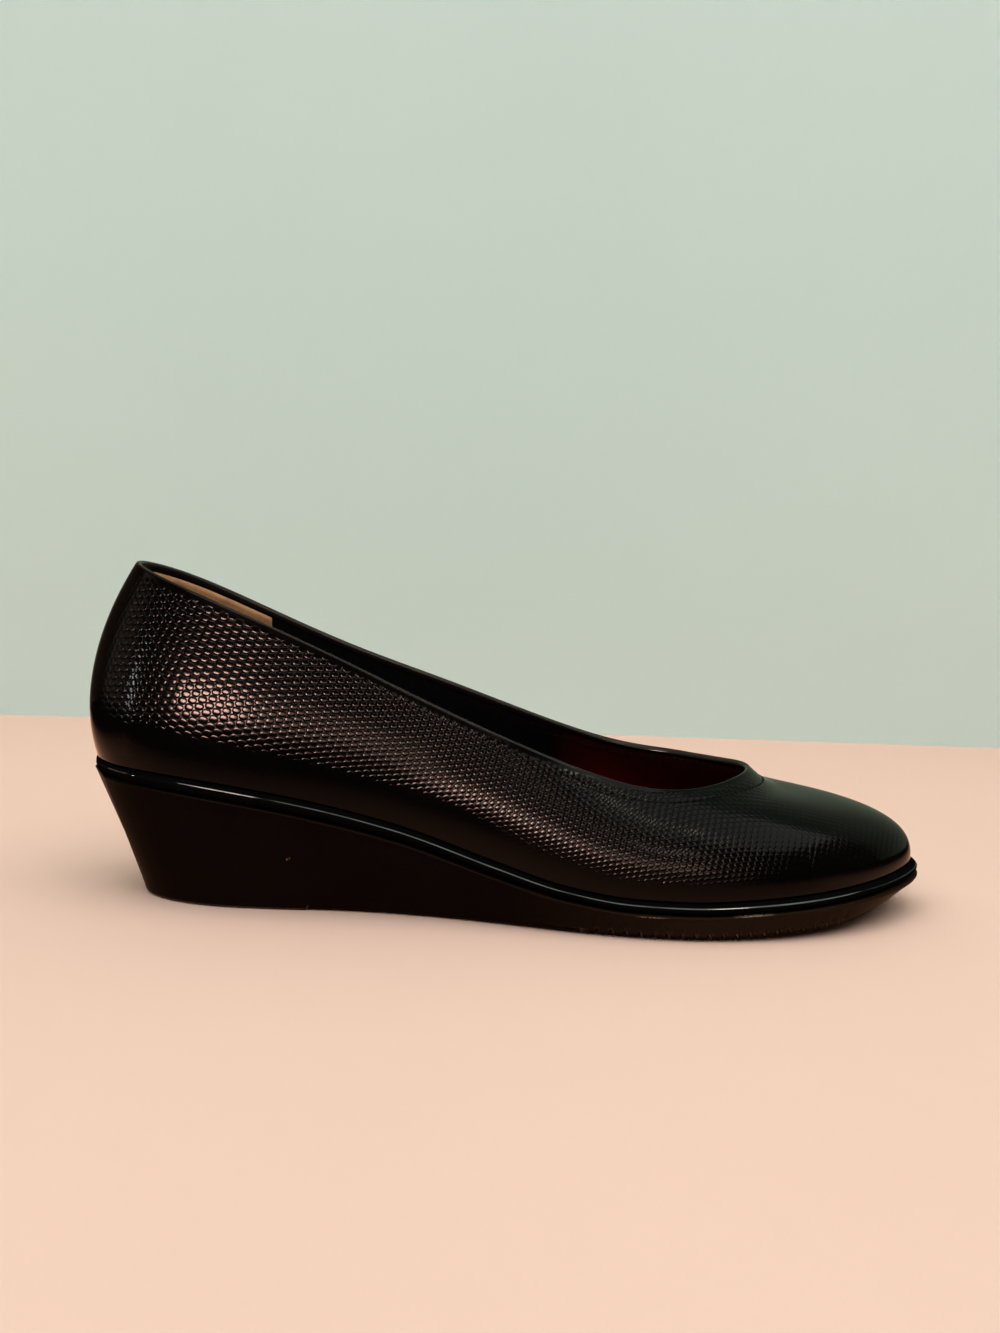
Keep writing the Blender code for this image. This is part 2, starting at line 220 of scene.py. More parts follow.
def add_piece(name, points, faces, look, slot, replaces=None, sharp=None):
    """Put a millimetre surface into the scene as one smooth piece that rides on the shoe."""
    mesh = bpy.data.meshes.new(name)
    place = (np.asarray(points, float).reshape(-1, 3) - SHIFT) * MM
    mesh.from_pydata(place.tolist(), [], [list(map(int, face)) for face in faces])
    mesh.shade_smooth()
    if sharp:
        mesh.set_sharp_from_angle(angle=np.radians(sharp))
    mesh.materials.append(look)
    piece = bpy.data.objects.new(name, mesh)
    bpy.context.scene.collection.objects.link(piece)
    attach(piece, "root")
    if replaces:
        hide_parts(replaces)
    size = np.ptp(place, axis=0) / MM
    print(name, len(place), "points", len(faces), "faces", np.round(size, 1), "mm")
    return piece


def smooth_step(low, high, x):
    """0 below low, 1 above high, and 3 s^2 - 2 s^3 between them."""
    s = np.clip((x - low) / (high - low), 0.0, 1.0)
    return s * s * (3 - 2 * s)


print("a hoop of 3 rows and 8 columns has", len(grid_faces(3, 8, close_cols=True)), "faces")

# %% [markdown]
# ## Writing materials as small sentences
#
# A material is a tree of nodes. Linking nodes by hand takes many lines, so one helper adds a node, sets
# its options and fills its inputs, either with a plain value or with another node's output.

# %% Node helpers


def put(tree, kind, inputs=(), **options):
    """Add a node, set its options, and fill or link its inputs by place or by name."""
    node = tree.nodes.new(kind)
    for name, value in options.items():
        setattr(node, name, value)
    pairs = inputs.items() if isinstance(inputs, dict) else enumerate(inputs)
    for place, value in pairs:
        if isinstance(value, bpy.types.NodeSocket):
            tree.links.new(value, node.inputs[place])
        else:
            node.inputs[place].default_value = value
    return node


def calc(tree, operation, *values):
    """One arithmetic node's result."""
    return put(tree, "ShaderNodeMath", values, operation=operation).outputs[0]


def object_axes(tree):
    """The piece's own coordinates in metres, split into X, Y and Z."""
    place = put(tree, "ShaderNodeTexCoord").outputs["Object"]
    return put(tree, "ShaderNodeSeparateXYZ", (place,)).outputs


def ramp(tree, value, low, high):
    """Share that grows from 0 at low to 1 at high and is held beyond them."""
    return put(tree, "ShaderNodeMapRange", {"Value": value, "From Min": low, "From Max": high}).outputs[0]


def new_group(name, inputs, outputs):
    """An empty shader group with named number inputs and outputs, and its two end nodes."""
    group = bpy.data.node_groups.new(name, "ShaderNodeTree")
    for label, kind, value in inputs:
        socket = group.interface.new_socket(label, in_out="INPUT", socket_type=kind)
        socket.default_value = value
    for label, kind in outputs:
        group.interface.new_socket(label, in_out="OUTPUT", socket_type=kind)
    return group, group.nodes.new("NodeGroupInput").outputs, group.nodes.new("NodeGroupOutput").inputs


def use_group(tree, group, **values):
    """Place a group in a tree with its own values and return its outputs."""
    node = put(tree, "ShaderNodeGroup", node_tree=group)
    for label, value in values.items():
        socket = node.inputs[label.replace("_", " ")]
        if isinstance(value, bpy.types.NodeSocket):
            tree.links.new(value, socket)
        else:
            socket.default_value = value
    return node.outputs


def new_material(name, **settings):
    """A material with one Principled shader whose constant sockets are set here."""
    made = bpy.data.materials.new(name)
    made.use_nodes = True
    shader = made.node_tree.nodes["Principled BSDF"]
    for label, value in settings.items():
        shader.inputs[label.replace("_", " ")].default_value = value
    return made, made.node_tree, shader


NUMBER, COLOUR = "NodeSocketFloat", "NodeSocketColor"
print("group sockets are", NUMBER, "and", COLOUR)

# %% [markdown]
# ## Effects that several finishes share
#
# Leather, rubber and cloth differ in colour and gloss, but all of them have pores, uneven tone and marks
# of use. Three groups hold these effects. Each reads the piece's own coordinates, in metres, so that the
# size of a pore is the same on every piece.

# %% Pores and tone


def make_pore_group():
    """Fine grain: noise at the pore size, with a second noise four times finer added at a third of it."""
    group, given, out = new_group("pores", [("Pore Size", NUMBER, 0.0006)], [("Height", NUMBER)])
    place = put(group, "ShaderNodeTexCoord").outputs["Object"]
    scale = calc(group, "DIVIDE", 1.0, given["Pore Size"])
    coarse = put(group, "ShaderNodeTexNoise", {"Vector": place, "Scale": scale, "Detail": 1.0}).outputs[0]
    finer = calc(group, "MULTIPLY", scale, 4.0)
    fine = put(group, "ShaderNodeTexNoise", {"Vector": place, "Scale": finer, "Detail": 0.0}).outputs[0]
    height = calc(group, "MULTIPLY_ADD", fine, 0.33, coarse)
    group.links.new(height, out["Height"])
    return group


def make_tone_group():
    """Uneven tone: a colour times one plus the amount times slow noise about zero."""
    group, given, out = new_group(
        "uneven tone",
        [("Color", COLOUR, (0.5, 0.5, 0.5, 1.0)), ("Amount", NUMBER, 0.2), ("Patch Size", NUMBER, 0.012)],
        [("Color", COLOUR), ("Tone", NUMBER)])
    place = put(group, "ShaderNodeTexCoord").outputs["Object"]
    scale = calc(group, "DIVIDE", 1.0, given["Patch Size"])
    noise = put(group, "ShaderNodeTexNoise", {"Vector": place, "Scale": scale, "Detail": 4.0}).outputs[0]
    centred = calc(group, "MULTIPLY_ADD", noise, 2.0, -1.0)
    gain = calc(group, "MULTIPLY_ADD", centred, given["Amount"], 1.0)
    tinted = put(group, "ShaderNodeVectorMath", (given["Color"], gain), operation="MULTIPLY")
    group.links.new(tinted.outputs[0], out["Color"])
    group.links.new(noise, out["Tone"])
    return group


def make_scuff_group():
    """A worn streak on the outer side, seen in x and z: a lean line with soft ends, broken up by noise.

    With p the offset from the middle, turned by the lean, the mask is
    (1 - |p along| / half length) times (1 - |p across| / half width), each clipped to 0 and 1.
    """
    group, given, out = new_group(
        "scuff",
        [("Middle X", NUMBER, 0.0), ("Middle Z", NUMBER, 0.0), ("Half Length", NUMBER, 0.004),
         ("Half Width", NUMBER, 0.0004), ("Lean", NUMBER, 0.0)],
        [("Mask", NUMBER)])
    place = put(group, "ShaderNodeTexCoord").outputs["Object"]
    split = put(group, "ShaderNodeSeparateXYZ", (place,)).outputs
    dx = calc(group, "SUBTRACT", split["X"], given["Middle X"])
    dz = calc(group, "SUBTRACT", split["Z"], given["Middle Z"])
    cos = calc(group, "COSINE", given["Lean"])
    sin = calc(group, "SINE", given["Lean"])
    run = calc(group, "ADD", calc(group, "MULTIPLY", dx, cos), calc(group, "MULTIPLY", dz, sin))
    off = calc(group, "SUBTRACT", calc(group, "MULTIPLY", dz, cos), calc(group, "MULTIPLY", dx, sin))
    mask = None
    for value, reach in ((run, "Half Length"), (off, "Half Width")):
        share = calc(group, "DIVIDE", calc(group, "ABSOLUTE", value), given[reach])
        inside = put(group, "ShaderNodeMath", (1.0, share), operation="SUBTRACT", use_clamp=True).outputs[0]
        mask = inside if mask is None else calc(group, "MULTIPLY", mask, inside)
    noise = put(group, "ShaderNodeTexNoise", {"Vector": place, "Scale": 1400.0, "Detail": 2.0}).outputs[0]
    broken = ramp(group, noise, 0.38, 0.62)
    outer = calc(group, "LESS_THAN", split["Y"], 0.0)
    mask = calc(group, "MULTIPLY", calc(group, "MULTIPLY", mask, broken), outer)
    group.links.new(calc(group, "MULTIPLY", mask, 2.0), out["Mask"])
    return group


PORES = make_pore_group()
TONE = make_tone_group()
SCUFF = make_scuff_group()
print("groups", PORES.name, TONE.name, SCUFF.name)


def mark(tree, x, z, half_length, half_width, lean):
    """One scuff's mask, from a place and sizes in the table's millimetres and a lean in degrees."""
    return use_group(tree, SCUFF, Middle_X=(x - SHIFT[0]) * MM, Middle_Z=z * MM, Lean=np.radians(lean),
                     Half_Length=half_length * MM, Half_Width=half_width * MM)["Mask"]


def strongest(tree, masks):
    """The largest of several masks at each point, at most one."""
    best = masks[0]
    for other in masks[1:]:
        best = calc(tree, "MAXIMUM", best, other)
    return calc(tree, "MINIMUM", best, 1.0)


def blend_colour(tree, share, low, high):
    """The low colour where share is 0 and the high one where it is 1."""
    mix = put(tree, "ShaderNodeMix", data_type="RGBA")
    for place, value in ((0, share), (6, low), (7, high)):
        if isinstance(value, bpy.types.NodeSocket):
            tree.links.new(value, mix.inputs[place])
        else:
            mix.inputs[place].default_value = value
    return mix.outputs[2]


def fine_bump(tree, shader, pore_size, strength, distance):
    """Pores as bump: the group's height into the shader's normal."""
    pores = use_group(tree, PORES, Pore_Size=pore_size)["Height"]
    bump = put(tree, "ShaderNodeBump", {"Height": pores, "Strength": strength, "Distance": distance})
    tree.links.new(bump.outputs[0], shader.inputs["Normal"])


def plain_material(name, gloss, roughness, colour, amount, patch, pores):
    """A one-colour finish: uneven tone as its colour and pores as its bump."""
    made, tree, shader = new_material(name, Specular_IOR_Level=gloss, Roughness=roughness)
    tone = use_group(tree, TONE, Color=(*colour, 1.0), Amount=amount, Patch_Size=patch)
    tree.links.new(tone["Color"], shader.inputs["Base Color"])
    fine_bump(tree, shader, *pores)
    return made


# %% [markdown]
# ## The upper's outer face
#
# The upper is one piece of leather pulled over the last. Each side line, from the foot edge to the
# topline, is a cubic curve, and the curve changes smoothly from section to section. The rows of the grid
# lie at fixed distances from the topline near it, because the folded edge and the stitches follow the
# topline, and are spread evenly below.

# %% Side lines of the upper
STEEP_REACH = 6.0
VAMP_REACH = 26.0
KICK_LENGTH = 11.0
UPPER_COLUMNS = 480
BODY_ROWS = 66
NEAR_RIM = 7.0
NEAR_STEP = 0.25
CURVE_STEPS = 241


def cubic(ends, t):
    """Bezier curve: (1-t)^3 foot + 3t(1-t)^2 low + 3t^2(1-t) high + t^3 rim."""
    foot, low, high, rim = ends
    return (1 - t) ** 3 * foot + 3 * t * (1 - t) ** 2 * low + 3 * t * t * (1 - t) * high + t ** 3 * rim


def side_curves(last):
    """Ends and handles of the side lines: the low handle swells and rises, the high one leans and drops.

    The lean points along the plan normal where the side is steep and towards the foot edge on the vamp.
    """
    foot = np.column_stack([last["plan"], last["foot_z"]])
    rim = np.column_stack([last["rim_x"], last["rim_y"], last["rim_z"]])
    flat = np.column_stack([last["normal"], np.zeros(len(foot))])
    up = np.array([0.0, 0.0, 1.0])
    back = (foot - rim) * (1.0, 1.0, 0.0)
    reach = np.linalg.norm(back, axis=1, keepdims=True)
    share = np.clip((reach - STEEP_REACH) / (VAMP_REACH - STEEP_REACH), 0.0, 1.0)
    away = flat * (1 - share) + back / reach * share
    away /= np.linalg.norm(away, axis=1, keepdims=True)
    low = foot + flat * last["swell"][:, None] + up * last["rise"][:, None]
    high = rim + away * last["lean"][:, None] - up * last["drop"][:, None]
    return foot, low, high, rim


def upper_face(last, body_rows, near):
    """Points of the upper's outer face and their distance to the rim, in rows from the foot to the rim.

    A row's curve parameter is where the side line's running length reaches the wanted distance. The kick
    lifts the last stretch by its height times the square of the share of the kick's length left.
    """
    ends = side_curves(last)
    steps = np.linspace(0.0, 1.0, CURVE_STEPS)
    curve = cubic(ends, steps[:, None, None])
    pieces = np.linalg.norm(np.diff(curve, axis=0), axis=2)
    run = np.concatenate([np.zeros((1, pieces.shape[1])), np.cumsum(pieces, axis=0)])
    body = near[0] + np.linspace(1.0, 0.0, body_rows, endpoint=False)[:, None] * (run[-1] - near[0])
    to_rim = np.concatenate([body, np.repeat(near[:, None], run.shape[1], axis=1)])
    wanted = run[-1] - to_rim
    k = np.clip((run[None] < wanted[:, None]).sum(1), 1, CURVE_STEPS - 1)
    before, after = np.take_along_axis(run, k - 1, 0), np.take_along_axis(run, k, 0)
    t = steps[k - 1] + (wanted - before) / (after - before) / (CURVE_STEPS - 1)
    points = cubic(ends, t[..., None])
    points[..., 2] += last["kick"] * np.clip(1 - to_rim / KICK_LENGTH, 0.0, 1.0) ** 2
    return points, to_rim


sections = np.arange(UPPER_COLUMNS) / UPPER_COLUMNS * TURN
LAST = last_at(sections)
near_rows = np.arange(NEAR_RIM, -NEAR_STEP / 2, -NEAR_STEP)
FACE, TO_RIM = upper_face(LAST, BODY_ROWS, near_rows)
FACE_NORMAL = grid_normals(FACE)
_, upper_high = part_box("upper")
print("outer face", FACE.shape)
print("tallest", round(FACE[..., 2].max(), 2), "mm, in the frame", round(upper_high.z / MM, 2))

# %% [markdown]
# ## Fold, stitch channel and creases
#
# Leather is not a perfect skin. The topline is turned over and sewn, so the edge stands a little proud
# and the thread pulls a channel below it. Walking and lasting leave shallow troughs. They could be bump,
# but they change the outline, so they are real: each is a soft bell pushed along the normal. The creases
# are listed by section number and by height share on the side.

# %% Relief of the outer face
FOLD_PROUD = 0.08
FOLD_WIDTH = 3.4
FOLD_SOFT = (1.2, 0.6)
UNSEWN_FOLD = 0.3
STITCH_DOWN = 4.4
STITCH_DEPTH = 0.14
STITCH_HALF_WIDTH = 0.45
STITCH_FROM = 5.1
STITCH_TO = TURN - 5.1
STITCH_FADE = 0.25

# name, section, height share, lean in degrees from lengthwise, length, width and depth in millimetres
CREASES = (
    ("vamp break outer", 7.1, 0.62, 62.0, 13.0, 3.6, -0.16),
    ("vamp break inner", 12.9, 0.60, 62.0, 13.0, 3.6, -0.16),
    ("flex trough outer", 6.2, 0.55, 74.0, 11.0, 4.2, -0.12),
    ("flex ridge outer", 6.6, 0.56, 70.0, 11.0, 4.0, 0.08),
    ("flex trough inner", 13.8, 0.55, 74.0, 11.0, 4.2, -0.12),
    ("waist hollow outer", 4.3, 0.66, 18.0, 26.0, 9.0, -0.35),
    ("waist hollow inner", 15.7, 0.66, 18.0, 26.0, 9.0, -0.35),
)


def crease_relief(points, normal):
    """Sum of bells: depth times exp(-(along/length)^2 - (across/width)^2) about each crease's middle."""
    rows, cols = points.shape[:2]
    relief = np.zeros((rows, cols))
    for _, section, share, lean, length, width, depth in CREASES:
        r, c = int(share * (rows - 1)), int(section / TURN * cols) % cols
        forward = np.array([1.0, 0.0, 0.0])
        flat = forward - (forward @ normal[r, c]) * normal[r, c]
        flat /= np.linalg.norm(flat)
        steep = np.cross(normal[r, c], flat)
        axis = np.cos(np.radians(lean)) * flat + np.sin(np.radians(lean)) * steep
        away = points - points[r, c]
        run = away @ axis
        off = np.linalg.norm(away - run[..., None] * axis, axis=-1)
        relief += depth * np.exp(-(run / length) ** 2 - (off / width) ** 2)
    return relief


def stitch_share(t):
    """1 where the topline is stitched round the throat, fading to 0 at both ends."""
    return smooth_step(STITCH_FROM, STITCH_FROM + STITCH_FADE, t) * (
        1 - smooth_step(STITCH_TO - STITCH_FADE, STITCH_TO, t))


stitched = stitch_share(sections)
fold = FOLD_PROUD * (UNSEWN_FOLD + (1 - UNSEWN_FOLD) * stitched)
fold = fold * (1 - smooth_step(FOLD_WIDTH - FOLD_SOFT[0], FOLD_WIDTH + FOLD_SOFT[1], TO_RIM))
channel = -STITCH_DEPTH * np.exp(-((TO_RIM - STITCH_DOWN) / STITCH_HALF_WIDTH) ** 2) * stitched
RELIEF = fold + channel + crease_relief(FACE, FACE_NORMAL)
SKIN = FACE + FACE_NORMAL * RELIEF[..., None]
print("relief from", round(RELIEF.min(), 2), "to", round(RELIEF.max(), 2), "mm")

# %% [markdown]
# ## How the embossed scales lie
#
# The leather is printed with rows of small raised scales. On the real shoe the hide was flat when it was
# embossed, so the rows wrap round the heel and run lengthwise to the toe without bunching up. A flat
# projection would stretch them, so each point gets two numbers: how many scales along and how many rows
# up. They are the field whose steps over the grid come closest to the wanted steps, a least-squares
# problem that conjugate gradients solve with whole arrays.

# %% Guide directions
# Length of a scale and height of a row in millimetres, by x
SCALE_PITCH = ((0, 2.80), (40, 2.78), (62, 2.56), (85, 2.30), (102, 2.08), (140, 1.88), (175, 1.98),
               (250, 1.95))
ROW_PITCH = ((0, 2.02), (40, 2.02), (62, 1.76), (85, 1.58), (102, 1.50), (140, 1.46), (175, 1.55),
             (250, 1.50))
# Climb of the rows towards the toe in degrees, by distance from the heel back round the side
ROW_CLIMB = ((0, 0), (25, 6), (40, 8), (60, 8), (90, 6), (114, 5), (131, 8), (147, 9), (170, 14), (183, 15),
             (211, 12), (230, 14), (290, 10))
HEEL_TURN = (45.0, 85.0)
SOLVE_STEPS = 1500
SOLVE_GOAL = 1e-10


def guide(points, normal, last):
    """Unit directions along and across the rows, tangent to the surface.

    Along: forward, or round the heel by the outline's tangent, with the climb of the rows, less its part
    along the normal. Across: normal cross along, pointing up on both sides, and longer by one over the
    cosine of the climb, because rows that bend together keep their distance straight up.
    """
    x = points[..., 0]
    side = np.where(np.arange(points.shape[1]) <= points.shape[1] // 2, 1.0, -1.0)
    toeward = np.column_stack([last["tangent"] * side[:, None], np.zeros(len(side))])
    at_heel = (1 - smooth_step(*HEEL_TURN, x))[..., None]
    along_row = at_heel * toeward + (1 - at_heel) * np.array([1.0, 0.0, 0.0])
    from_back = np.abs(points[..., 1]) + x
    climb = np.tan(np.radians(np.interp(from_back, *np.array(ROW_CLIMB).T)))[..., None]
    along_row[..., 2:] += climb
    along_row -= (along_row * normal).sum(-1, keepdims=True) * normal
    along_row /= np.linalg.norm(along_row, axis=-1, keepdims=True)
    across = np.cross(normal, along_row) * side[:, None]
    return along_row, across * np.sqrt(1 + climb ** 2)


def relax(up, round_, weight_up, weight_round, held):
    """Field whose grid steps come closest, in weighted squares, to the wanted steps up and round.

    Conjugate gradients on the normal equations: gather sums the weighted steps that end at a point less
    those that start there. Points in held keep the value 0.
    """
    def gather(a, b):
        out = np.roll(b, 1, axis=1) - b
        out[1:] += a
        out[:-1] -= a
        return np.where(held, 0.0, out)

    def spread(f):
        return gather(weight_up * (f[1:] - f[:-1]), weight_round * (np.roll(f, -1, axis=1) - f))

    field = np.zeros(held.shape)
    left = gather(weight_up * up, weight_round * round_)
    way = left.copy()
    size = (left * left).sum()
    goal = size * SOLVE_GOAL
    for step in range(SOLVE_STEPS):
        push = spread(way)
        share = size / (way * push).sum()
        field += share * way
        left -= share * push
        new_size = (left * left).sum()
        if new_size < goal:
            break
        way = left + new_size / size * way
        size = new_size
    return field, step


def lay_grain(points, normal, last):
    """Scales along and rows up for each point, from the guide directions and the scale's size there."""
    along_row, across = guide(points, normal, last)
    pitch = np.interp(points[..., 0], *np.array(SCALE_PITCH).T)
    row_pitch = np.interp(points[..., 0], *np.array(ROW_PITCH).T)
    step_up = points[1:] - points[:-1]
    step_round = np.roll(points, -1, axis=1) - points
    long_up = np.linalg.norm(step_up, axis=-1)
    long_round = np.linalg.norm(step_round, axis=-1)
    wide = 0.5 * (long_round[1:] + long_round[:-1])
    tall = np.pad(0.5 * (long_up[1:] + long_up[:-1]), ((1, 1), (0, 0)), mode="edge")
    weight_up, weight_round = wide / long_up, tall / long_round
    toe = points.shape[1] // 2
    fields = []
    for way, size, pinned in ((along_row, pitch, False), (across, row_pitch, True)):
        held = np.zeros(pitch.shape, bool)
        held[:, toe] = pinned
        mid_up = 0.5 * (way[1:] + way[:-1])
        turn_up = (mid_up * step_up).sum(-1) / (0.5 * (size[1:] + size[:-1]))
        first, second = way.copy(), np.roll(way, -1, axis=1)
        first[:, toe] = second[:, toe]
        second[:, toe - 1] = way[:, toe - 1]
        first[:, 0] = way[:, 1]
        second[:, -1] = way[:, -1]
        mid_round = 0.5 * (first + second)
        turn_round = (mid_round * step_round).sum(-1) / (0.5 * (size + np.roll(size, -1, axis=1)))
        if pinned:
            turn_up[:, toe] = 0.0
        field, steps = relax(turn_up, turn_round, weight_up, weight_round, held)
        span = np.round([field.min(), field.max()], 1)
        print("grain field solved in", steps, "steps, from", span[0], "to", span[1])
        fields.append(field)
    return fields


SCALES_ALONG, ROWS_UP = lay_grain(FACE, FACE_NORMAL, LAST)

# %% [markdown]
# ## Embossed leather
#
# The finish is black with an even gloss. A scale is a low lens, longer than it is high, which leans down
# towards the toe at the heel and up towards it at the forepart. Scales could be modelled one by one, but
# there are thousands and each is a fraction of a millimetre high, so a formula of the two grain numbers
# gives their height to a Bump node. Each crown then mirrors the lamps and has its own spark.

# %% The scale emboss and the leather
SCALE_SHIFT = -0.36
SCALE_LONG = 0.45
SCALE_WIDE = 0.385
SCALE_ROUND = 0.4
SCALE_GROOVE = -0.45
SCALE_LEAST = 0.85
SCALE_CHANCE = 0.25
GRAIN_DRIFT = 0.1
DRIFT_SCALE = 130.0
# Lean in radians at the heel and at the forepart, and the two places along the shoe, in metres
LEAN_HEEL, LEAN_FOREPART = 0.52, -0.44
LEAN_FROM, LEAN_TO = -0.092, -0.012
SCALE_DEPTH = 0.16


def one_scale(tree, slid, v, column, row, lean):
    """Height of one scale, the one at this column of this row.

    With b = v - row and a the place along the scale, both turned by the lean, q is the sum of the third
    power of the share of the half length and the square of the share of the half width. The height is 1
    less a mix of q and q^3, held at the groove's floor: a long lens, steep at its rim. Chance varies it.
    """
    a = calc(tree, "SUBTRACT", slid, column)
    b = calc(tree, "MULTIPLY", calc(tree, "SUBTRACT", v, row), ROW_PITCH[0][1] / SCALE_PITCH[0][1])
    sine, cosine = calc(tree, "SINE", lean), calc(tree, "COSINE", lean)
    along_axis = calc(tree, "SUBTRACT", calc(tree, "MULTIPLY", a, cosine), calc(tree, "MULTIPLY", b, sine))
    across_axis = calc(tree, "ADD", calc(tree, "MULTIPLY", a, sine), calc(tree, "MULTIPLY", b, cosine))
    long_share = calc(tree, "ABSOLUTE", calc(tree, "DIVIDE", along_axis, SCALE_LONG))
    wide_share = calc(tree, "ABSOLUTE", calc(tree, "DIVIDE", across_axis, SCALE_WIDE))
    q = calc(tree, "ADD", calc(tree, "POWER", long_share, 3.0), calc(tree, "POWER", wide_share, 2.0))
    steep = calc(tree, "MULTIPLY", calc(tree, "POWER", q, 3.0), 1.0 - SCALE_ROUND)
    fall = calc(tree, "MULTIPLY_ADD", q, SCALE_ROUND, steep)
    dome = calc(tree, "MAXIMUM", calc(tree, "SUBTRACT", 1.0, fall), SCALE_GROOVE)
    number = put(tree, "ShaderNodeCombineXYZ", (column, row, 0.0)).outputs[0]
    chance = put(tree, "ShaderNodeTexWhiteNoise", (number,), noise_dimensions="2D").outputs["Value"]
    return calc(tree, "MULTIPLY", dome, calc(tree, "MULTIPLY_ADD", chance, SCALE_CHANCE, SCALE_LEAST))


def row_of_scales(tree, u, v, row, lean):
    """Height of the scales of one row, shifted against the row below: the higher of the two neighbours."""
    slid = calc(tree, "MULTIPLY_ADD", row, SCALE_SHIFT, u)
    left = calc(tree, "FLOOR", slid)
    right = calc(tree, "ADD", left, 1.0)
    left_scale = one_scale(tree, slid, v, left, row, lean)
    right_scale = one_scale(tree, slid, v, right, row, lean)
    return calc(tree, "MAXIMUM", left_scale, right_scale)


def scale_nodes(tree):
    """Height of the emboss: the higher of the two rows above and below each point, times its strength there.

    The scales lean down towards the toe at the heel and up towards it at the forepart.
    """
    grain = put(tree, "ShaderNodeAttribute", attribute_name="grain").outputs["Vector"]
    split = put(tree, "ShaderNodeSeparateXYZ", (grain,)).outputs
    place = put(tree, "ShaderNodeTexCoord").outputs["Object"]
    drift = put(tree, "ShaderNodeTexNoise", {"Vector": place, "Scale": DRIFT_SCALE, "Detail": 1.0})
    shift = put(tree, "ShaderNodeSeparateXYZ", (drift.outputs["Color"],)).outputs
    drift_up = calc(tree, "MULTIPLY_ADD", shift["X"], 2 * GRAIN_DRIFT, -GRAIN_DRIFT)
    drift_along = calc(tree, "MULTIPLY_ADD", shift["Y"], 2 * GRAIN_DRIFT, -GRAIN_DRIFT)
    v = calc(tree, "ADD", split["Y"], drift_up)
    u = calc(tree, "ADD", split["X"], drift_along)
    forward = object_axes(tree)["X"]
    lean = put(tree, "ShaderNodeMapRange", {"Value": forward, "From Min": LEAN_FROM, "From Max": LEAN_TO,
                                            "To Min": LEAN_HEEL, "To Max": LEAN_FOREPART}).outputs[0]
    lower = calc(tree, "FLOOR", v)
    upper = calc(tree, "ADD", lower, 1.0)
    lower_row = row_of_scales(tree, u, v, lower, lean)
    upper_row = row_of_scales(tree, u, v, upper, lean)
    return calc(tree, "MULTIPLY", calc(tree, "MAXIMUM", lower_row, upper_row), split["Z"])


def leather_material():
    """Black embossed leather: scale and pore bump, even gloss, faint toe scratches, painted rim highlight.
    """
    made, tree, shader = new_material("embossed leather", Specular_IOR_Level=0.077)
    height = scale_nodes(tree)
    pores = use_group(tree, PORES, Pore_Size=0.00035)["Height"]
    tone = use_group(tree, TONE, Color=(0.0019, 0.0014, 0.0013, 1.0), Amount=0.35, Patch_Size=0.02)
    scratches = strongest(tree, [
        mark(tree, 208.0, 25.4, 3.6, 0.11, 86.0),
        mark(tree, 209.6, 24.7, 4.2, 0.13, 72.0),
    ])
    # edge is a painted highlight on the rim's crown and fold, blended with the real toe scratches
    edge = put(tree, "ShaderNodeAttribute", attribute_name="edge").outputs["Fac"]
    pale_marks = calc(tree, "MAXIMUM", calc(tree, "MULTIPLY", scratches, 0.55), edge)
    colour = blend_colour(tree, pale_marks, tone["Color"], (0.11, 0.085, 0.075, 1.0))
    tree.links.new(colour, shader.inputs["Base Color"])
    tree.links.new(calc(tree, "MULTIPLY_ADD", tone["Tone"], 0.05, 0.09), shader.inputs["Roughness"])
    fine = put(tree, "ShaderNodeBump", {"Height": pores, "Strength": 0.15, "Distance": 0.00003})
    bump = put(tree, "ShaderNodeBump", {"Height": height, "Strength": 1.0, "Distance": SCALE_DEPTH * MM,
                                        "Normal": fine.outputs[0]})
    tree.links.new(bump.outputs[0], shader.inputs["Normal"])
    return made


LEATHER = leather_material()
print("the leather has", len(LEATHER.node_tree.nodes), "nodes")

# %% [markdown]
# ## The upper as one wall
#
# The leather is folded over the topline and glued down inside, so the piece is a closed hoop: up the
# outer face, over the rounded fold, a few millimetres down the inside at the full thickness, and then
# behind the lining to the foot edge.

# %% The upper's leather
LEATHER_THICKNESS = 1.1
FOLD_INSIDE = 1.5
FOLD_CROWN = 0.8
CROWN_ROWS = 9


def upper_hoop():
    """Rows of the hoop: outer face, half-ellipse over the rim, inner face at fold's or leather's depth."""
    rim, normal = FACE[-1], FACE_NORMAL[-1]
    rise = FACE[-1] - FACE[-3]
    rise /= np.linalg.norm(rise, axis=1, keepdims=True)
    angle = np.linspace(0.0, np.pi, CROWN_ROWS + 2)[1:-1, None, None]
    proud = RELIEF[-1][:, None]
    across = proud - (WALL + proud) * 0.5 * (1 - np.cos(angle))
    crown = rim + normal * across + rise * FOLD_CROWN * np.sin(angle)
    picked = np.r_[np.arange(len(FACE) - 1, BODY_ROWS, -2), np.arange(BODY_ROWS, 0, -3)]
    depth = WALL - (WALL - LEATHER_THICKNESS) * smooth_step(FOLD_INSIDE, FOLD_INSIDE + 0.4, TO_RIM[picked])
    inside = FACE[picked] - FACE_NORMAL[picked] * depth[..., None]
    floor = ring_at(LAST, -LEATHER_THICKNESS, LAST["foot_z"])
    return np.concatenate([SKIN, crown, inside, floor[None]]), picked


# Painted highlight along the topline: a paler colour on the rim's crown, less on the fold's inside
RIM_HIGHLIGHT = 0.32
RIM_HIGHLIGHT_INSIDE = 0.4
INSIDE_FADE = (0.4, 1.8)
# Distance in millimetres at which the emboss is whole again, by x: above the foot edge, below the topline
PRESSED_FOOT = ((0, 22), (40, 20), (80, 18), (105, 21.5), (130, 13.5), (165, 8.5), (250, 9))
PRESSED_RIM = ((0, 6), (40, 3), (100, 4), (130, 4), (150, 2), (175, 1.8), (250, 1.8))
PRESSED_LEFT = 0.06
FOOT_FADE = 0.55
RIM_FADE = 0.8
BACK_FADE = (17.0, 36.0)
TOE_FADE = (176.0, 203.0)
TOE_LOSS = 0.8


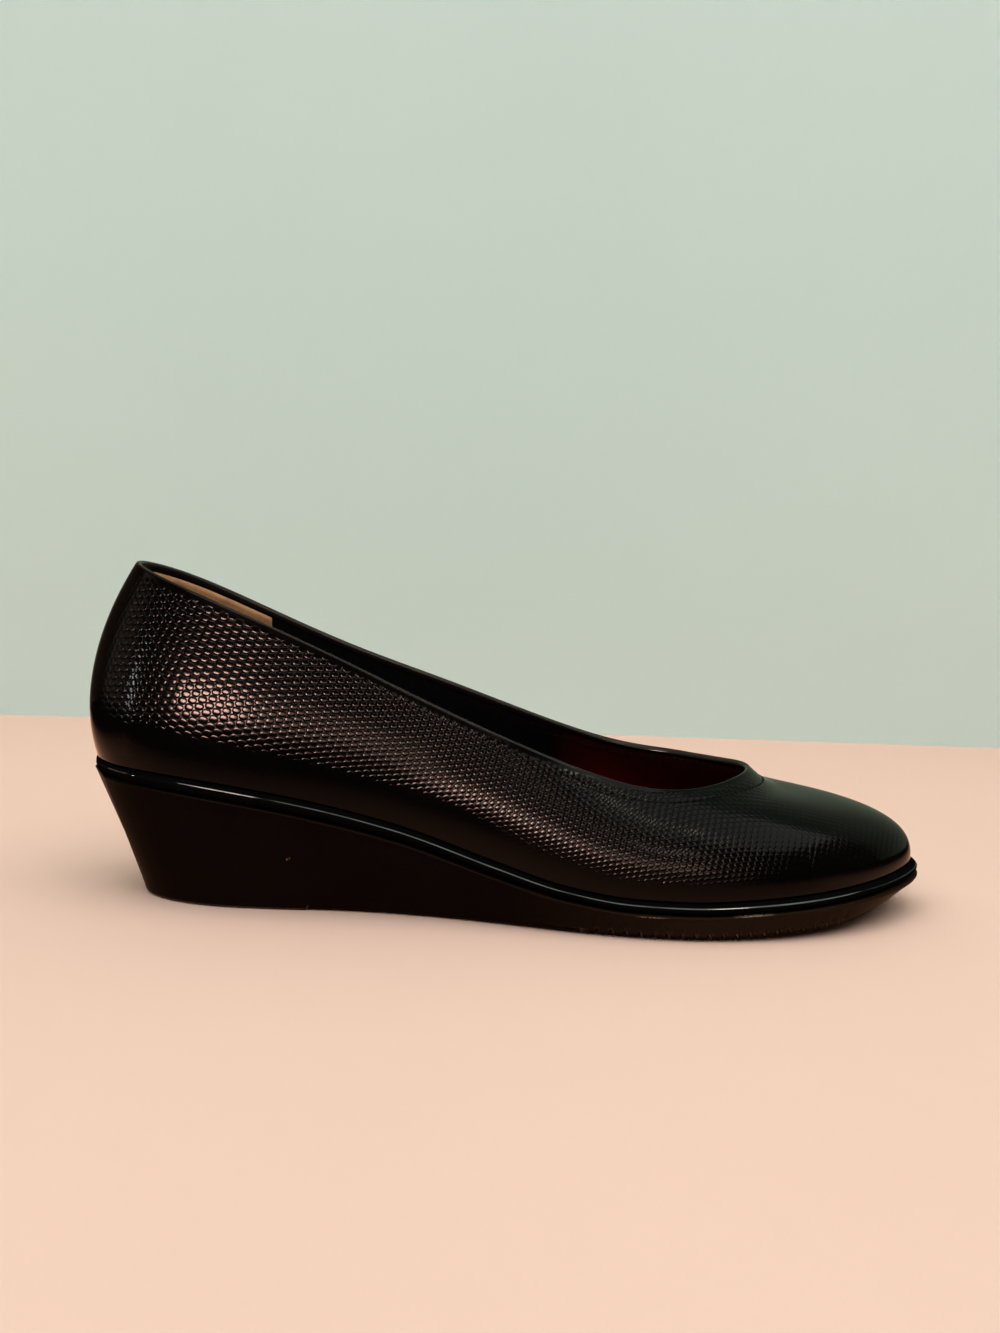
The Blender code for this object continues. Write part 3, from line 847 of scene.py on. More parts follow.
def emboss_strength():
    """Share of the emboss that is left at each point of the outer face.

    Lasting presses it flat towards the foot edge and folding towards the topline, and the stiffeners of
    heel and toe stretch it out. The share is the product of one soft step for each of the four.
    """
    x = FACE[..., 0]
    whole = along(PRESSED_FOOT, x)
    gain = 1.0 - PRESSED_LEFT
    off_foot = PRESSED_LEFT + gain * smooth_step(FOOT_FADE * whole, whole, TO_RIM[0] - TO_RIM)
    off_rim = smooth_step(RIM_FADE, along(PRESSED_RIM, x), TO_RIM)
    off_back = PRESSED_LEFT + gain * smooth_step(*BACK_FADE, np.abs(FACE[..., 1]) + x)
    off_toe = 1.0 - TOE_LOSS * smooth_step(*TOE_FADE, x)
    return off_foot * off_rim * off_back * off_toe


def grain_attribute(piece, rows):
    """Store scales along, rows up and emboss strength with each point; behind the fold it is zero."""
    outer = np.stack([SCALES_ALONG, ROWS_UP, emboss_strength()], -1)
    inner = np.repeat(outer[-1:] * (1.0, 1.0, 0.0), rows - len(FACE), axis=0)
    values = np.concatenate([outer, inner]).astype(np.float32)
    store = piece.data.attributes.new("grain", "FLOAT_VECTOR", "POINT")
    store.data.foreach_set("vector", values.ravel())


def rim_highlight_attribute(piece, rows):
    """Store a painted highlight of the topline: most on the crown of the rim, less on the fold's inside."""
    crown = np.sin(np.linspace(0.0, np.pi, CROWN_ROWS + 2)[1:-1])
    values = np.zeros((rows, FACE.shape[1]))
    values[len(FACE):len(FACE) + CROWN_ROWS] = RIM_HIGHLIGHT * crown[:, None]
    behind = TO_RIM[INNER_PICK]
    inside = RIM_HIGHLIGHT_INSIDE * RIM_HIGHLIGHT * (1 - smooth_step(*INSIDE_FADE, behind))
    values[len(FACE) + CROWN_ROWS:-1] = inside
    store = piece.data.attributes.new("edge", "FLOAT", "POINT")
    store.data.foreach_set("value", values.astype(np.float32).ravel())


hoop, INNER_PICK = upper_hoop()
upper = add_piece("upper_leather", hoop, hoop_faces(hoop), LEATHER, "upper", "upper")
grain_attribute(upper, len(hoop))
rim_highlight_attribute(upper, len(hoop))

# %% [markdown]
# ## Rand
#
# The rand is a glossy moulded bead that covers the joint of upper and sole. Its section is a blunt nose
# with a flat back, carried round the foot outline. A bead needs many steps round its crest, because its
# gloss shows one thin bright line there and any flat facet would break that line.

# %% The rand
RAND_COLUMNS = 900
RAND_SHARES = np.sin(np.linspace(-np.pi / 2, np.pi / 2, 22))
RAND_BACKSET = 0.2
NOSE_POWER = 1.7
CREST_SHARE = 0.38
CREST_SOFT = (0.02, 0.12)


def rand_rows(last):
    """Rows of the bead's section: back low, nose from low to high, back high.

    At share s of the half height, from -1 to 1, the nose stands out by the crest times 1 - |s|^power.
    """
    low = last["top"] + GAP
    middle = low + 0.5 * last["rand"]
    crest = last["margin"] - RAND_BACKSET
    rows = [ring_at(last, -WALL, low)]
    for share in RAND_SHARES:
        out = crest * (1 - np.abs(share) ** NOSE_POWER)
        rows.append(ring_at(last, out, middle + 0.5 * last["rand"] * share))
    rows.append(ring_at(last, -WALL, low + last["rand"]))
    return np.array(rows)


def rand_material():
    """Black plastic whose coat is polished on the crest, dusty in patches and dull beside the joints."""
    made, tree, shader = new_material("glossy rand", Specular_IOR_Level=0.0, Roughness=0.5,
                                      Coat_Roughness=0.06, Coat_IOR=1.8)
    tone = use_group(tree, TONE, Color=(0.0030, 0.0028, 0.0030, 1.0), Amount=0.5, Patch_Size=0.006)
    tree.links.new(tone["Color"], shader.inputs["Base Color"])
    crest = put(tree, "ShaderNodeAttribute", attribute_name="crest").outputs["Fac"]
    clean = put(tree, "ShaderNodeMapRange", {"Value": tone["Tone"], "From Min": 0.75, "From Max": 0.35,
                                             "To Min": 0.4}).outputs[0]
    tree.links.new(calc(tree, "MULTIPLY", crest, clean), shader.inputs["Coat Weight"])
    fine_bump(tree, shader, 0.0006, 0.3, 0.00004)
    return made


rand_last = last_at(np.arange(RAND_COLUMNS) / RAND_COLUMNS * TURN)
bead = rand_rows(rand_last)
rand = add_piece("rand_bead", bead, hoop_faces(bead), rand_material(), "rand", "rand", sharp=40)
polish = 1 - smooth_step(*CREST_SOFT, np.abs(RAND_SHARES - CREST_SHARE))
polish = np.concatenate([[0.0], polish, [0.0]])
crest = rand.data.attributes.new("crest", "FLOAT", "POINT")
crest.data.foreach_set("value", np.repeat(polish, RAND_COLUMNS).astype(np.float32))

# %% [markdown]
# ## Wedge sole
#
# Wedge, shank and forefoot are moulded as one unit. Its wall is a profile carried round the outline: a
# thin lip at the top, a flat flank that draws in towards the floor, and a rolled edge. Its underside is
# flat at the heel, lifted at the shank, and cut by cross ribs under the ball. The columns are chosen so
# that both sides share the same x, and then the rungs of the underside run straight across, as the ribs
# do.

# %% Sole sizes and profile
LID_INSET = 3.0
LIP_EDGE = 0.35
LIP_DEPTH = 1.2
EDGE_ROLL = 2.6
EDGE_RISE = ((66, 1.2), (144, 2.0))
SHANK_FROM = 66.0
SHANK_TO = 144.0
SHANK_CLEARANCE = 1.9
RIB_FROM = 148.6
RIB_PITCH = 3.9
RIB_COUNT = 19
GROOVE_WIDTH = 1.3
GROOVE_DEPTH = 1.5
GROOVE_SOFT = 0.25
NOTCH_RISE = 0.9
SOLE_STATIONS = 1100
FINE_STEPS = 8000
FLANK_ROWS = 9
ROLL_ROWS = 7
RUNGS = 12


def groove(x):
    """1 in the tread's cross grooves and 0 on the ribs between them, with a soft edge."""
    turn = (x - RIB_FROM) / RIB_PITCH
    off = np.abs(turn - np.clip(np.round(turn), 0, RIB_COUNT - 1)) * RIB_PITCH
    return 1 - smooth_step(GROOVE_WIDTH / 2 - GROOVE_SOFT, GROOVE_WIDTH / 2 + GROOVE_SOFT, off)


def underside(x):
    """Height below which nothing is left at x: the lifted shank, and the grooves above the tread's line."""
    shank = smooth_step(SHANK_FROM - 0.2, SHANK_FROM + 0.2, x)
    shank = shank * (1 - smooth_step(SHANK_TO - 0.4, SHANK_TO + 0.4, x))
    return np.maximum(SHANK_CLEARANCE * shank, groove(x) * (GROOVE_DEPTH + along(TREAD, x)))


def base_offset(last):
    """How far the flank's foot lies outside the foot outline."""
    return last["margin"] - LIP_EDGE - last["tuck"]


def sole_columns():
    """Section numbers of the wall's columns: cosine-spaced stations in x, down the outer side and back."""
    fine = np.linspace(-1.0, TURN - 1.0, FINE_STEPS)
    last = last_at(fine)
    x = ring_at(last, base_offset(last) - EDGE_ROLL, 0.0)[:, 0]
    heel, toe = x[:FINE_STEPS // 4].argmin(), x.argmax()
    share = 0.5 - 0.5 * np.cos(np.linspace(0.0, np.pi, SOLE_STATIONS + 1))
    stations = x[heel] + (x[toe] - x[heel]) * share
    outer = np.interp(stations, x[heel:toe + 1], fine[heel:toe + 1])
    back_x = np.concatenate([x[toe:], x[:heel + 1]])[::-1]
    back_t = np.concatenate([fine[toe:], fine[:heel + 1] + TURN])[::-1]
    inner = np.interp(stations[1:-1], np.maximum.accumulate(back_x), back_t)
    return np.concatenate([outer, inner[::-1]])


def sole_rows(last):
    """Rows of the wall from the lip's top to the tread's edge, as offsets and heights of the outline.

    The last rows run from the flank's foot to the tread's edge on a quarter ellipse. At the heel it is a
    round edge, down first and then in; at the forefoot it is a hollow, in first and then down, and each
    groove of the tread notches the flank above it.
    """
    edge, top = last["margin"], last["top"]
    rows = [ring_at(last, edge - LID_INSET, top)]
    for angle in np.linspace(np.pi / 2, 0.0, 5):
        inset = LIP_EDGE * (1 - np.cos(angle))
        rows.append(ring_at(last, edge - inset, top - LIP_EDGE * (1 - np.sin(angle))))
    for share in (0.35, 0.75, 1.0):
        shrink = LIP_EDGE * smooth_step(0.3, 1.0, share)
        rows.append(ring_at(last, edge - shrink, top - LIP_EDGE - (LIP_DEPTH - LIP_EDGE) * share))
    tread = ring_at(last, base_offset(last) - EDGE_ROLL, 0.0)
    tread[:, 2] = along(TREAD, tread[:, 0])
    foot = ring_at(last, base_offset(last), 0.0)
    foot[:, 2] = along(TREAD, foot[:, 0]) + np.interp(foot[:, 0], *np.array(EDGE_RISE).T)
    foot[:, 2] += NOTCH_RISE * groove(tread[:, 0])
    rows += [rows[-1] + (foot - rows[-1]) * share for share in np.linspace(0.0, 1.0, FLANK_ROWS + 1)[1:]]
    hollow = smooth_step(SHANK_TO - 4.0, SHANK_TO + 4.0, tread[:, 0])
    for angle in np.linspace(0.0, np.pi / 2, ROLL_ROWS + 1)[1:]:
        late, soon = 1 - np.cos(angle), np.sin(angle)
        inward = late + (soon - late) * hollow
        down = soon + (late - soon) * hollow
        rows.append(foot + (tread - foot) * np.column_stack([inward, inward, down]))
    return np.array(rows)


def ladder(ring, rungs, height):
    """Inner points of the rungs across a closed ring, one rung per station, at the height x asks for."""
    half = len(ring) // 2
    outer, inner = ring[1:half], ring[:half:-1]
    share = np.linspace(0.0, 1.0, rungs + 1)[1:-1, None]
    points = outer[:, None] + (inner - outer)[:, None] * share
    points[..., 2] = height(points[..., 0])
    return points


def ladder_faces(count, first, start, rungs, flip):
    """Quads between neighbouring rungs, with triangles at the two ends, as corner numbers."""
    half = count // 2
    table = np.empty((half + 1, rungs + 1), int)
    table[0], table[half] = first, first + half
    table[1:half, 0] = first + np.arange(1, half)
    table[1:half, -1] = first + count - np.arange(1, half)
    table[1:half, 1:-1] = start + np.arange((half - 1) * (rungs - 1)).reshape(half - 1, rungs - 1)
    quads = np.stack([table[:-1, :-1], table[1:, :-1], table[1:, 1:], table[:-1, 1:]], -1).reshape(-1, 4)
    quads = quads[:, ::-1] if flip else quads
    return [list(dict.fromkeys(quad)) for quad in quads.tolist()]


def closed_block(wall, lid, base, lid_rungs, base_rungs):
    """Points and faces of a block: rows of its wall from top to bottom, then the rungs of lid and base."""
    count = wall.shape[1]
    points = np.concatenate([wall.reshape(-1, 3), lid.reshape(-1, 3), base.reshape(-1, 3)])
    faces = [face[::-1] for face in grid_faces(len(wall), count, close_cols=True).tolist()]
    lid_first = wall[..., 0].size
    base_first = lid_first + lid[..., 0].size
    faces += ladder_faces(count, 0, lid_first, lid_rungs, False)
    faces += ladder_faces(count, lid_first - count, base_first, base_rungs, True)
    return points, faces


print("ribs from", RIB_FROM, "to", round(RIB_FROM + RIB_PITCH * (RIB_COUNT - 1), 1), "mm")

# %% [markdown]
# ## Rubber of the sole
#
# The unit is one dull rubber, nearly black at the heel and a little browner at the forefoot, with pale
# rubbed streaks along its lip. The streaks could come from a painted image, but masks given in
# millimetres keep their place on the piece.

# %% The sole's finish and mesh


def sole_material():
    """Satin brown-black rubber: fine mould grain, and pale rubbed streaks along the lip."""
    made, tree, shader = new_material("wedge rubber", Specular_IOR_Level=0.012)
    tone = use_group(tree, TONE, Color=(0.0032, 0.0015, 0.0006, 1.0), Amount=0.4, Patch_Size=0.015)
    pale_marks = strongest(tree, [
        mark(tree, 163.0, 7.1, 5.0, 0.2, 0.0),
        mark(tree, 192.0, 8.0, 6.5, 0.2, 3.0),
        mark(tree, 60.6, 16.1, 0.8, 0.4, 30.0),
    ])
    front = ramp(tree, object_axes(tree)["X"], 0.0, 0.05)
    rubber = blend_colour(tree, front, tone["Color"], (0.0175, 0.0102, 0.0056, 1.0))
    colour = blend_colour(tree, pale_marks, rubber, (0.30, 0.19, 0.14, 1.0))
    tree.links.new(colour, shader.inputs["Base Color"])
    tree.links.new(calc(tree, "MULTIPLY_ADD", tone["Tone"], 0.14, 0.42), shader.inputs["Roughness"])
    fine_bump(tree, shader, 0.0007, 0.5, 0.00006)
    return made


sole_last = last_at(sole_columns())
wall = sole_rows(sole_last)
roll = slice(len(wall) - ROLL_ROWS - 1, None)
wall[roll, :, 2] = np.maximum(wall[roll, :, 2], underside(wall[roll, :, 0]))
lid = ladder(wall[0], 2, lambda x: along(SOLE_TOP, x))
base = ladder(wall[-1], RUNGS, lambda x: np.maximum(along(TREAD, x), underside(x)))
sole_points, sole_faces = closed_block(wall, lid, base, 2, RUNGS)
add_piece("wedge_sole", sole_points, sole_faces, sole_material(), "sole", "sole", sharp=35)

# %% [markdown]
# ## Lining
#
# A woven lining covers the inside of the wall, black at the quarters and dark red in the forepart. It could
# be a second colour on the leather's inner face, but cloth is dull and sits in from the fold, so it is a
# thin closed hoop inside the leather.

# %% Lining
LINING_OUT = 1.25
LINING_IN = 1.75
RED_FROM = 138.0
RED_FADE = 18.0
# Threads of the weave, in radians per metre
WEAVE = 9000.0


def lining_material():
    """Dull weave, black at the quarters and dark red in the forepart: the sines of two sets of threads."""
    made, tree, shader = new_material("woven lining", Specular_IOR_Level=0.02, Roughness=0.85)
    axes = object_axes(tree)
    edge = (RED_FROM - SHIFT[0]) * MM
    front = ramp(tree, axes["X"], edge, edge + RED_FADE * MM)
    dyed = blend_colour(tree, front, (0.006, 0.0055, 0.006, 1.0), (0.16, 0.008, 0.006, 1.0))
    tone = use_group(tree, TONE, Color=dyed, Amount=0.3, Patch_Size=0.008)
    tree.links.new(tone["Color"], shader.inputs["Base Color"])
    warp = calc(tree, "SINE", calc(tree, "MULTIPLY", axes["X"], WEAVE))
    weft = calc(tree, "SINE", calc(tree, "MULTIPLY", axes["Z"], WEAVE))
    weave = calc(tree, "MULTIPLY", warp, weft)
    bump = put(tree, "ShaderNodeBump", {"Height": weave, "Strength": 0.5, "Distance": 0.00008})
    tree.links.new(bump.outputs[0], shader.inputs["Normal"])
    return made


def lining_hoop():
    """Hidden side up from the foot, visible side down from just under the fold."""
    rows = INNER_PICK[TO_RIM[INNER_PICK, 0] > FOLD_INSIDE - 0.1][::-1]
    hidden = FACE[rows] - FACE_NORMAL[rows] * LINING_OUT
    shown = FACE[rows] - FACE_NORMAL[rows] * LINING_IN
    hidden = np.concatenate([ring_at(LAST, -LINING_OUT, LAST["foot_z"])[None], hidden])
    shown = np.concatenate([ring_at(LAST, -LINING_IN, LAST["foot_z"])[None], shown])
    return np.concatenate([hidden, shown[::-1]])


lining = lining_hoop()
add_piece("lining", lining, hoop_faces(lining), lining_material(), "lining", sharp=50)

# %% [markdown]
# ## Heel grip
#
# A strip of tan leather with a short nap holds the heel. It could be a patch of colour on the lining, but
# it has a thickness and a cut edge that show in the opening, so it is a strip of the same surface, a little
# further in, and Solidify gives it its thickness.

# %% Heel grip
GRIP_REACH = 2.42
GRIP_COLUMNS = 140
GRIP_ROWS = 34
GRIP_IN = 2.2
GRIP_THICKNESS = 0.4
GRIP_TOP = 1.8

# Tan leather with a short nap: mottled tone, dull
GRIP_LOOK = plain_material("tan heel grip", gloss=0.1, roughness=0.7, colour=(0.70, 0.37, 0.18),
                           amount=0.35, patch=0.004, pores=(0.0004, 0.6, 0.00008))

grip_last = last_at(np.linspace(-GRIP_REACH, GRIP_REACH, GRIP_COLUMNS))
grip_face, _ = upper_face(grip_last, GRIP_ROWS, np.array([GRIP_TOP]))
rise = np.gradient(grip_face, axis=0)
turn = np.gradient(grip_face, axis=1)
inward = -np.cross(turn, rise)
inward /= np.linalg.norm(inward, axis=-1, keepdims=True)
grip_points = grip_face + inward * GRIP_IN
grip_points[0] = ring_at(grip_last, -GRIP_IN, grip_last["foot_z"])
grip_faces = grid_faces(*grip_points.shape[:2])[:, ::-1]
grip = add_piece("heel_grip", grip_points, grip_faces, GRIP_LOOK, "heel_lining")
thick = grip.modifiers.new("thickness", "SOLIDIFY")
thick.thickness = GRIP_THICKNESS * MM
thick.offset = -1.0

# %% [markdown]
# ## Sock
#
# The foot stands on a board under a dark red leather sock. A flat plate would do for this camera, but the
# edge of a real sock is rolled and wear dishes it, which shows from above. So the edge is a quarter circle,
# and the rungs across the outline carry a shallow parabola.

# %% Sock
SOCK_COLUMNS = 360
SOCK_RUNGS = 24
SOCK_HIGH = 4.4
SOCK_ROLL = 1.0
SOCK_DISH = 0.7

# Very dark red leather: soft grain, dull, with a little uneven tone from wear
SOCK_LOOK = plain_material("dark red sock", gloss=0.08, roughness=0.55, colour=(0.050, 0.0065, 0.006),
                           amount=0.3, patch=0.01, pores=(0.0006, 0.5, 0.00008))


def sock_rows(last):
    """Rolled top edge as a quarter circle, then the side down to the sole."""
    inset = -WALL - GAP
    low = last["top"] + GAP
    rows = []
    for angle in np.linspace(np.pi / 2, 0.0, 5):
        edge = inset - SOCK_ROLL * (1 - np.cos(angle))
        rows.append(ring_at(last, edge, low + SOCK_HIGH - SOCK_ROLL * (1 - np.sin(angle))))
    return np.array(rows + [ring_at(last, inset, low)])


def sock_top(points):
    """Height of the sock: the sole's line plus its thickness, dished by a parabola across each rung."""
    share = np.linspace(-1.0, 1.0, points.shape[1] + 2)[1:-1]
    return along(SOLE_TOP, points[..., 0]) + GAP + SOCK_HIGH - SOCK_DISH * (1 - share ** 2)


sock_last = last_at(np.arange(SOCK_COLUMNS) / SOCK_COLUMNS * TURN)
sock = sock_rows(sock_last)
cover = ladder(sock[0], SOCK_RUNGS, lambda x: along(SOLE_TOP, x))
cover[..., 2] = sock_top(cover)
board = ladder(sock[-1], 2, lambda x: along(SOLE_TOP, x) + GAP)
sock_points, sock_faces = closed_block(sock, cover, board, SOCK_RUNGS, 2)
add_piece("sock", sock_points, sock_faces, SOCK_LOOK, "insole", "insole", sharp=50)

# %% [markdown]
# ## Stitches round the throat
#
# One row of short stitches holds the folded edge round the throat. Each stitch is a small tube that rises
# out of the leather, lies flat and dives back. All stitches are one mesh: the place along the seam is one
# array, the place round the thread another. The same thread shows on the inside of the wall.

# %% Stitches
STITCH_PITCH = 2.3
STITCH_LENGTH = 1.8
THREAD_RADIUS = 0.23
THREAD_STEPS = 9
THREAD_SIDES = 7
THREAD_LIFT = 0.35
THREAD_DIVE = 1.5
THREAD_TAPER = 0.85
AHEAD = 0.2

# Black thread with a slight sheen and a fine twist
THREAD = plain_material("black thread", gloss=0.04, roughness=0.5, colour=(0.006, 0.0055, 0.0055),
                        amount=0.4, patch=0.002, pores=(0.00025, 0.6, 0.00005))


def on_run(where, run, values):
    """Vectors at places along a run, on straight lines between the given ones."""
    return np.stack([np.interp(where, run, values[:, i]) for i in range(3)], -1)


def stitch_row(path, normal):
    """Tubes along a seam: the middle line sinks as the fourth power towards both ends of each stitch.

    A point is the seam at its place, plus the normal times the lift, plus the radius times
    (cos a times normal + sin a times the sideways direction).
    """
    run = np.concatenate([[0.0], np.cumsum(np.linalg.norm(np.diff(path, axis=0), axis=1))])
    count = int(run[-1] / STITCH_PITCH)
    share = np.linspace(-1.0, 1.0, THREAD_STEPS)
    where = (np.arange(count)[:, None] + 0.5) * STITCH_PITCH + 0.5 * STITCH_LENGTH * share
    at, out = on_run(where, run, path), on_run(where, run, normal)
    side = np.cross(out, on_run(where + AHEAD, run, path) - at)
    side /= np.linalg.norm(side, axis=-1, keepdims=True)
    lift = THREAD_RADIUS * (THREAD_LIFT - THREAD_DIVE * share ** 4)
    thick = THREAD_RADIUS * np.sqrt(1.0 - THREAD_TAPER * share ** 6)
    angle = np.linspace(0.0, 2 * np.pi, THREAD_SIDES, endpoint=False)
    middle = at + out * lift[:, None]
    around_thread = np.cos(angle)[:, None] * out[:, :, None] + np.sin(angle)[:, None] * side[:, :, None]
    points = middle[:, :, None] + thick[:, None, None] * around_thread
    tube = grid_faces(THREAD_STEPS, THREAD_SIDES, close_cols=True)
    near_end = np.arange(THREAD_SIDES)
    far_end = near_end + (THREAD_STEPS - 1) * THREAD_SIDES
    ends = np.array([near_end[::-1], far_end])
    firsts = np.arange(count)[:, None, None] * THREAD_STEPS * THREAD_SIDES
    faces = (tube[None] + firsts).reshape(-1, 4).tolist()
    faces += (ends[None] + firsts).reshape(-1, THREAD_SIDES).tolist()
    return points.reshape(-1, 3), faces


seam_row = int(np.abs(TO_RIM[:, 0] - STITCH_DOWN).argmin())
sewn = (sections > STITCH_FROM) & (sections < STITCH_TO)
seam, seam_normal = SKIN[seam_row, sewn], FACE_NORMAL[seam_row, sewn]
add_piece("throat_stitches", *stitch_row(seam, seam_normal), THREAD, "thread")
inner_seam = FACE[seam_row, sewn] - FACE_NORMAL[seam_row, sewn] * LINING_IN
add_piece("throat_stitches_inside", *stitch_row(inner_seam[::-1], -seam_normal[::-1]), THREAD, "thread")

# %% [markdown]
# ## Floor and wall
#
# Black leather shows its form by what it mirrors, and here that is a darker room than the pale floor and
# wall behind the shoe. The room could be built, but only its tones matter. So Light Path lets the two
# planes answer reflections in their own way: the floor as a narrow warm table, which gives the line above
# the rand, and the wall brown behind the heel and green towards the toe.

# %% Stage
FLOOR_HALF = 3.0
WALL_BACK = 0.27
WALL_TOP = 1.6
# In metres: where the mirrored wall starts and ends to turn green, and the mirrored table's edges, each as
# an axis, the last bright place and the first dark one
WALL_TURN = (-0.35, -0.05)
TABLE_EDGES = (("Y", -0.05, -0.11), ("X", -0.20, -0.30), ("X", 0.14, 0.24))


def stage_material(name, colour, roughness):
    """Plain matt paint with a trace of unevenness."""
    made, tree, shader = new_material(name, Roughness=roughness, Specular_IOR_Level=0.0)
    tone = use_group(tree, TONE, Color=(*colour, 1.0), Amount=0.03, Patch_Size=0.2)
    tree.links.new(tone["Color"], shader.inputs["Base Color"])
    return made, tree, shader


def swap_shader(tree, share, shader, other):
    """Show another shader in the share of cases that a mask names."""
    mix = put(tree, "ShaderNodeMixShader", (share, shader.outputs[0], other.outputs[0]))
    tree.links.new(mix.outputs[0], tree.nodes["Material Output"].inputs["Surface"])


def wall_material():
    """Pale wall, clear from behind so that the shoe's inner side can be seen, and darker to reflections."""
    made, tree, shader = stage_material("pale wall", (0.76, 0.95, 0.92), 0.8)
    path = put(tree, "ShaderNodeLightPath").outputs
    toeward = ramp(tree, object_axes(tree)["X"], *WALL_TURN)
    mirrored = blend_colour(tree, toeward, (0.09, 0.06, 0.04, 1.0), (0.31, 0.42, 0.34, 1.0))
    dark = put(tree, "ShaderNodeBsdfDiffuse", {"Color": mirrored})
    seen = put(tree, "ShaderNodeMixShader", (path["Is Glossy Ray"], shader.outputs[0], dark.outputs[0]))
    behind = put(tree, "ShaderNodeNewGeometry").outputs["Backfacing"]
    swap_shader(tree, behind, seen, put(tree, "ShaderNodeBsdfTransparent"))
    return made


def floor_material():
    """Pale floor that reflections see as a narrow warm table that glows, and a dark room beyond its edges.
    """
    made, tree, shader = stage_material("pale floor", (0.84, 0.56, 0.46), 0.6)
    axes = object_axes(tree)
    beyond = strongest(tree, [ramp(tree, axes[axis], near, far) for axis, near, far in TABLE_EDGES])
    # Painted reflection: to glossy rays the near floor glows as an emission
    warm = put(tree, "ShaderNodeEmission", {"Color": (1.0, 0.5, 0.3, 1.0), "Strength": 1.3})
    dark = put(tree, "ShaderNodeBsdfDiffuse", {"Color": (0.01, 0.008, 0.007, 1.0)})
    table = put(tree, "ShaderNodeMixShader", (beyond, warm.outputs[0], dark.outputs[0]))
    swap_shader(tree, put(tree, "ShaderNodeLightPath").outputs["Is Glossy Ray"], shader, table)
    return made


def stage_plane(name, corners, look):
    """One flat quad of the studio."""
    mesh = bpy.data.meshes.new(name)
    mesh.from_pydata(corners, [], [(0, 1, 2, 3)])
    mesh.materials.append(look)
    plane = bpy.data.objects.new(name, mesh)
    bpy.context.scene.collection.objects.link(plane)


far = FLOOR_HALF
stage_plane("floor", [(-far, -far, 0), (far, -far, 0), (far, far, 0), (-far, far, 0)],
            floor_material())
wall_foot = [(-far, WALL_BACK, 0), (far, WALL_BACK, 0)]
wall_head = [(far, WALL_BACK, WALL_TOP), (-far, WALL_BACK, WALL_TOP)]
stage_plane("backdrop", wall_foot + wall_head, wall_material())
print("floor", 2 * far, "m square, wall", WALL_BACK, "m behind the middle and", WALL_TOP, "m high")

# %% [markdown]
# ## Light
#
# In the room one broad ceiling gives nearly all of the light, and what shows as form on black leather is
# the mirrored lamps. One kind of lamp could do both, but then each highlight would also brighten the floor.
# So the ceiling lights and is not mirrored, and the other panels are mirrored and don't light: a warm lamp
# and its glow at the front left for the heel, smaller lamps above for the sparks of quarter and vamp, a
# window and a brown room at the left, and the ceiling's own sheen for the forepart.

# %% Light


def turn_and_place(thing, axes, place):
    """Set an object's matrix: its columns are the three axes and the place."""
    rows = [(*row, p) for row, p in zip(np.column_stack(axes), place)]
    thing.matrix_world = Matrix(rows + [(0, 0, 0, 1)])


def add_area(name, place, target, size, power, colour, mirrored=True):
    """A soft rectangular lamp that faces its target and either shows in reflections or gives light."""
    lamp = bpy.data.lights.new(name, "AREA")
    lamp.shape = "RECTANGLE"
    lamp.size, lamp.size_y = size
    lamp.energy = power
    lamp.color = colour
    thing = bpy.data.objects.new(name, lamp)
    bpy.context.scene.collection.objects.link(thing)
    z = np.array(place, float) - np.array(target, float)
    z /= np.linalg.norm(z)
    x = np.cross((0.0, 0.0, 1.0), z)
    x = x / np.linalg.norm(x) if np.linalg.norm(x) > 1e-6 else np.array([1.0, 0.0, 0.0])
    y = np.cross(z, x)
    turn_and_place(thing, (x, y, z), place)
    thing.visible_camera = False
    thing.visible_diffuse = not mirrored
    thing.visible_glossy = mirrored


# Name, place, target, width and height in metres, power in watts, colour
MIRRORED_LAMPS = (
    ("warm_glow", (-0.14, -1.29, 0.17), (-0.03, -0.03, 0.05), (1.24, 0.31), 15.0, (1.0, 0.66, 0.54)),
    ("warm_lamp", (-0.49, -1.21, 0.225), (-0.07, -0.03, 0.06), (0.37, 0.26), 42.0, (1.0, 0.57, 0.47)),
    ("top_lamp", (-0.30, -0.75, 0.85), (-0.07, -0.03, 0.06), (0.40, 0.20), 3.4, (1.0, 0.86, 0.78)),
    ("high_lamp", (0.42, -0.68, 1.10), (0.045, -0.03, 0.03), (0.14, 0.14), 1.2, (1.0, 0.82, 0.72)),
    ("vamp_lamp", (0.28, -1.07, 0.60), (0.045, -0.03, 0.03), (0.24, 0.14), 1.7, (1.0, 0.82, 0.70)),
    ("side_window", (-1.15, -0.62, 0.19), (-0.11, -0.02, 0.06), (0.03, 0.36), 3.6, (0.90, 0.95, 1.0)),
    ("left_room", (-1.50, 0.05, 0.35), (-0.12, 0.00, 0.06), (1.20, 0.80), 2.2, (1.0, 0.80, 0.64)),
    ("ceiling_sheen", (0.86, -0.35, 1.56), (0.86, -0.35, 0.0), (1.78, 2.4), 29.0, (0.93, 1.0, 0.88)),
)
for lamp_row in MIRRORED_LAMPS:
    add_area(*lamp_row)
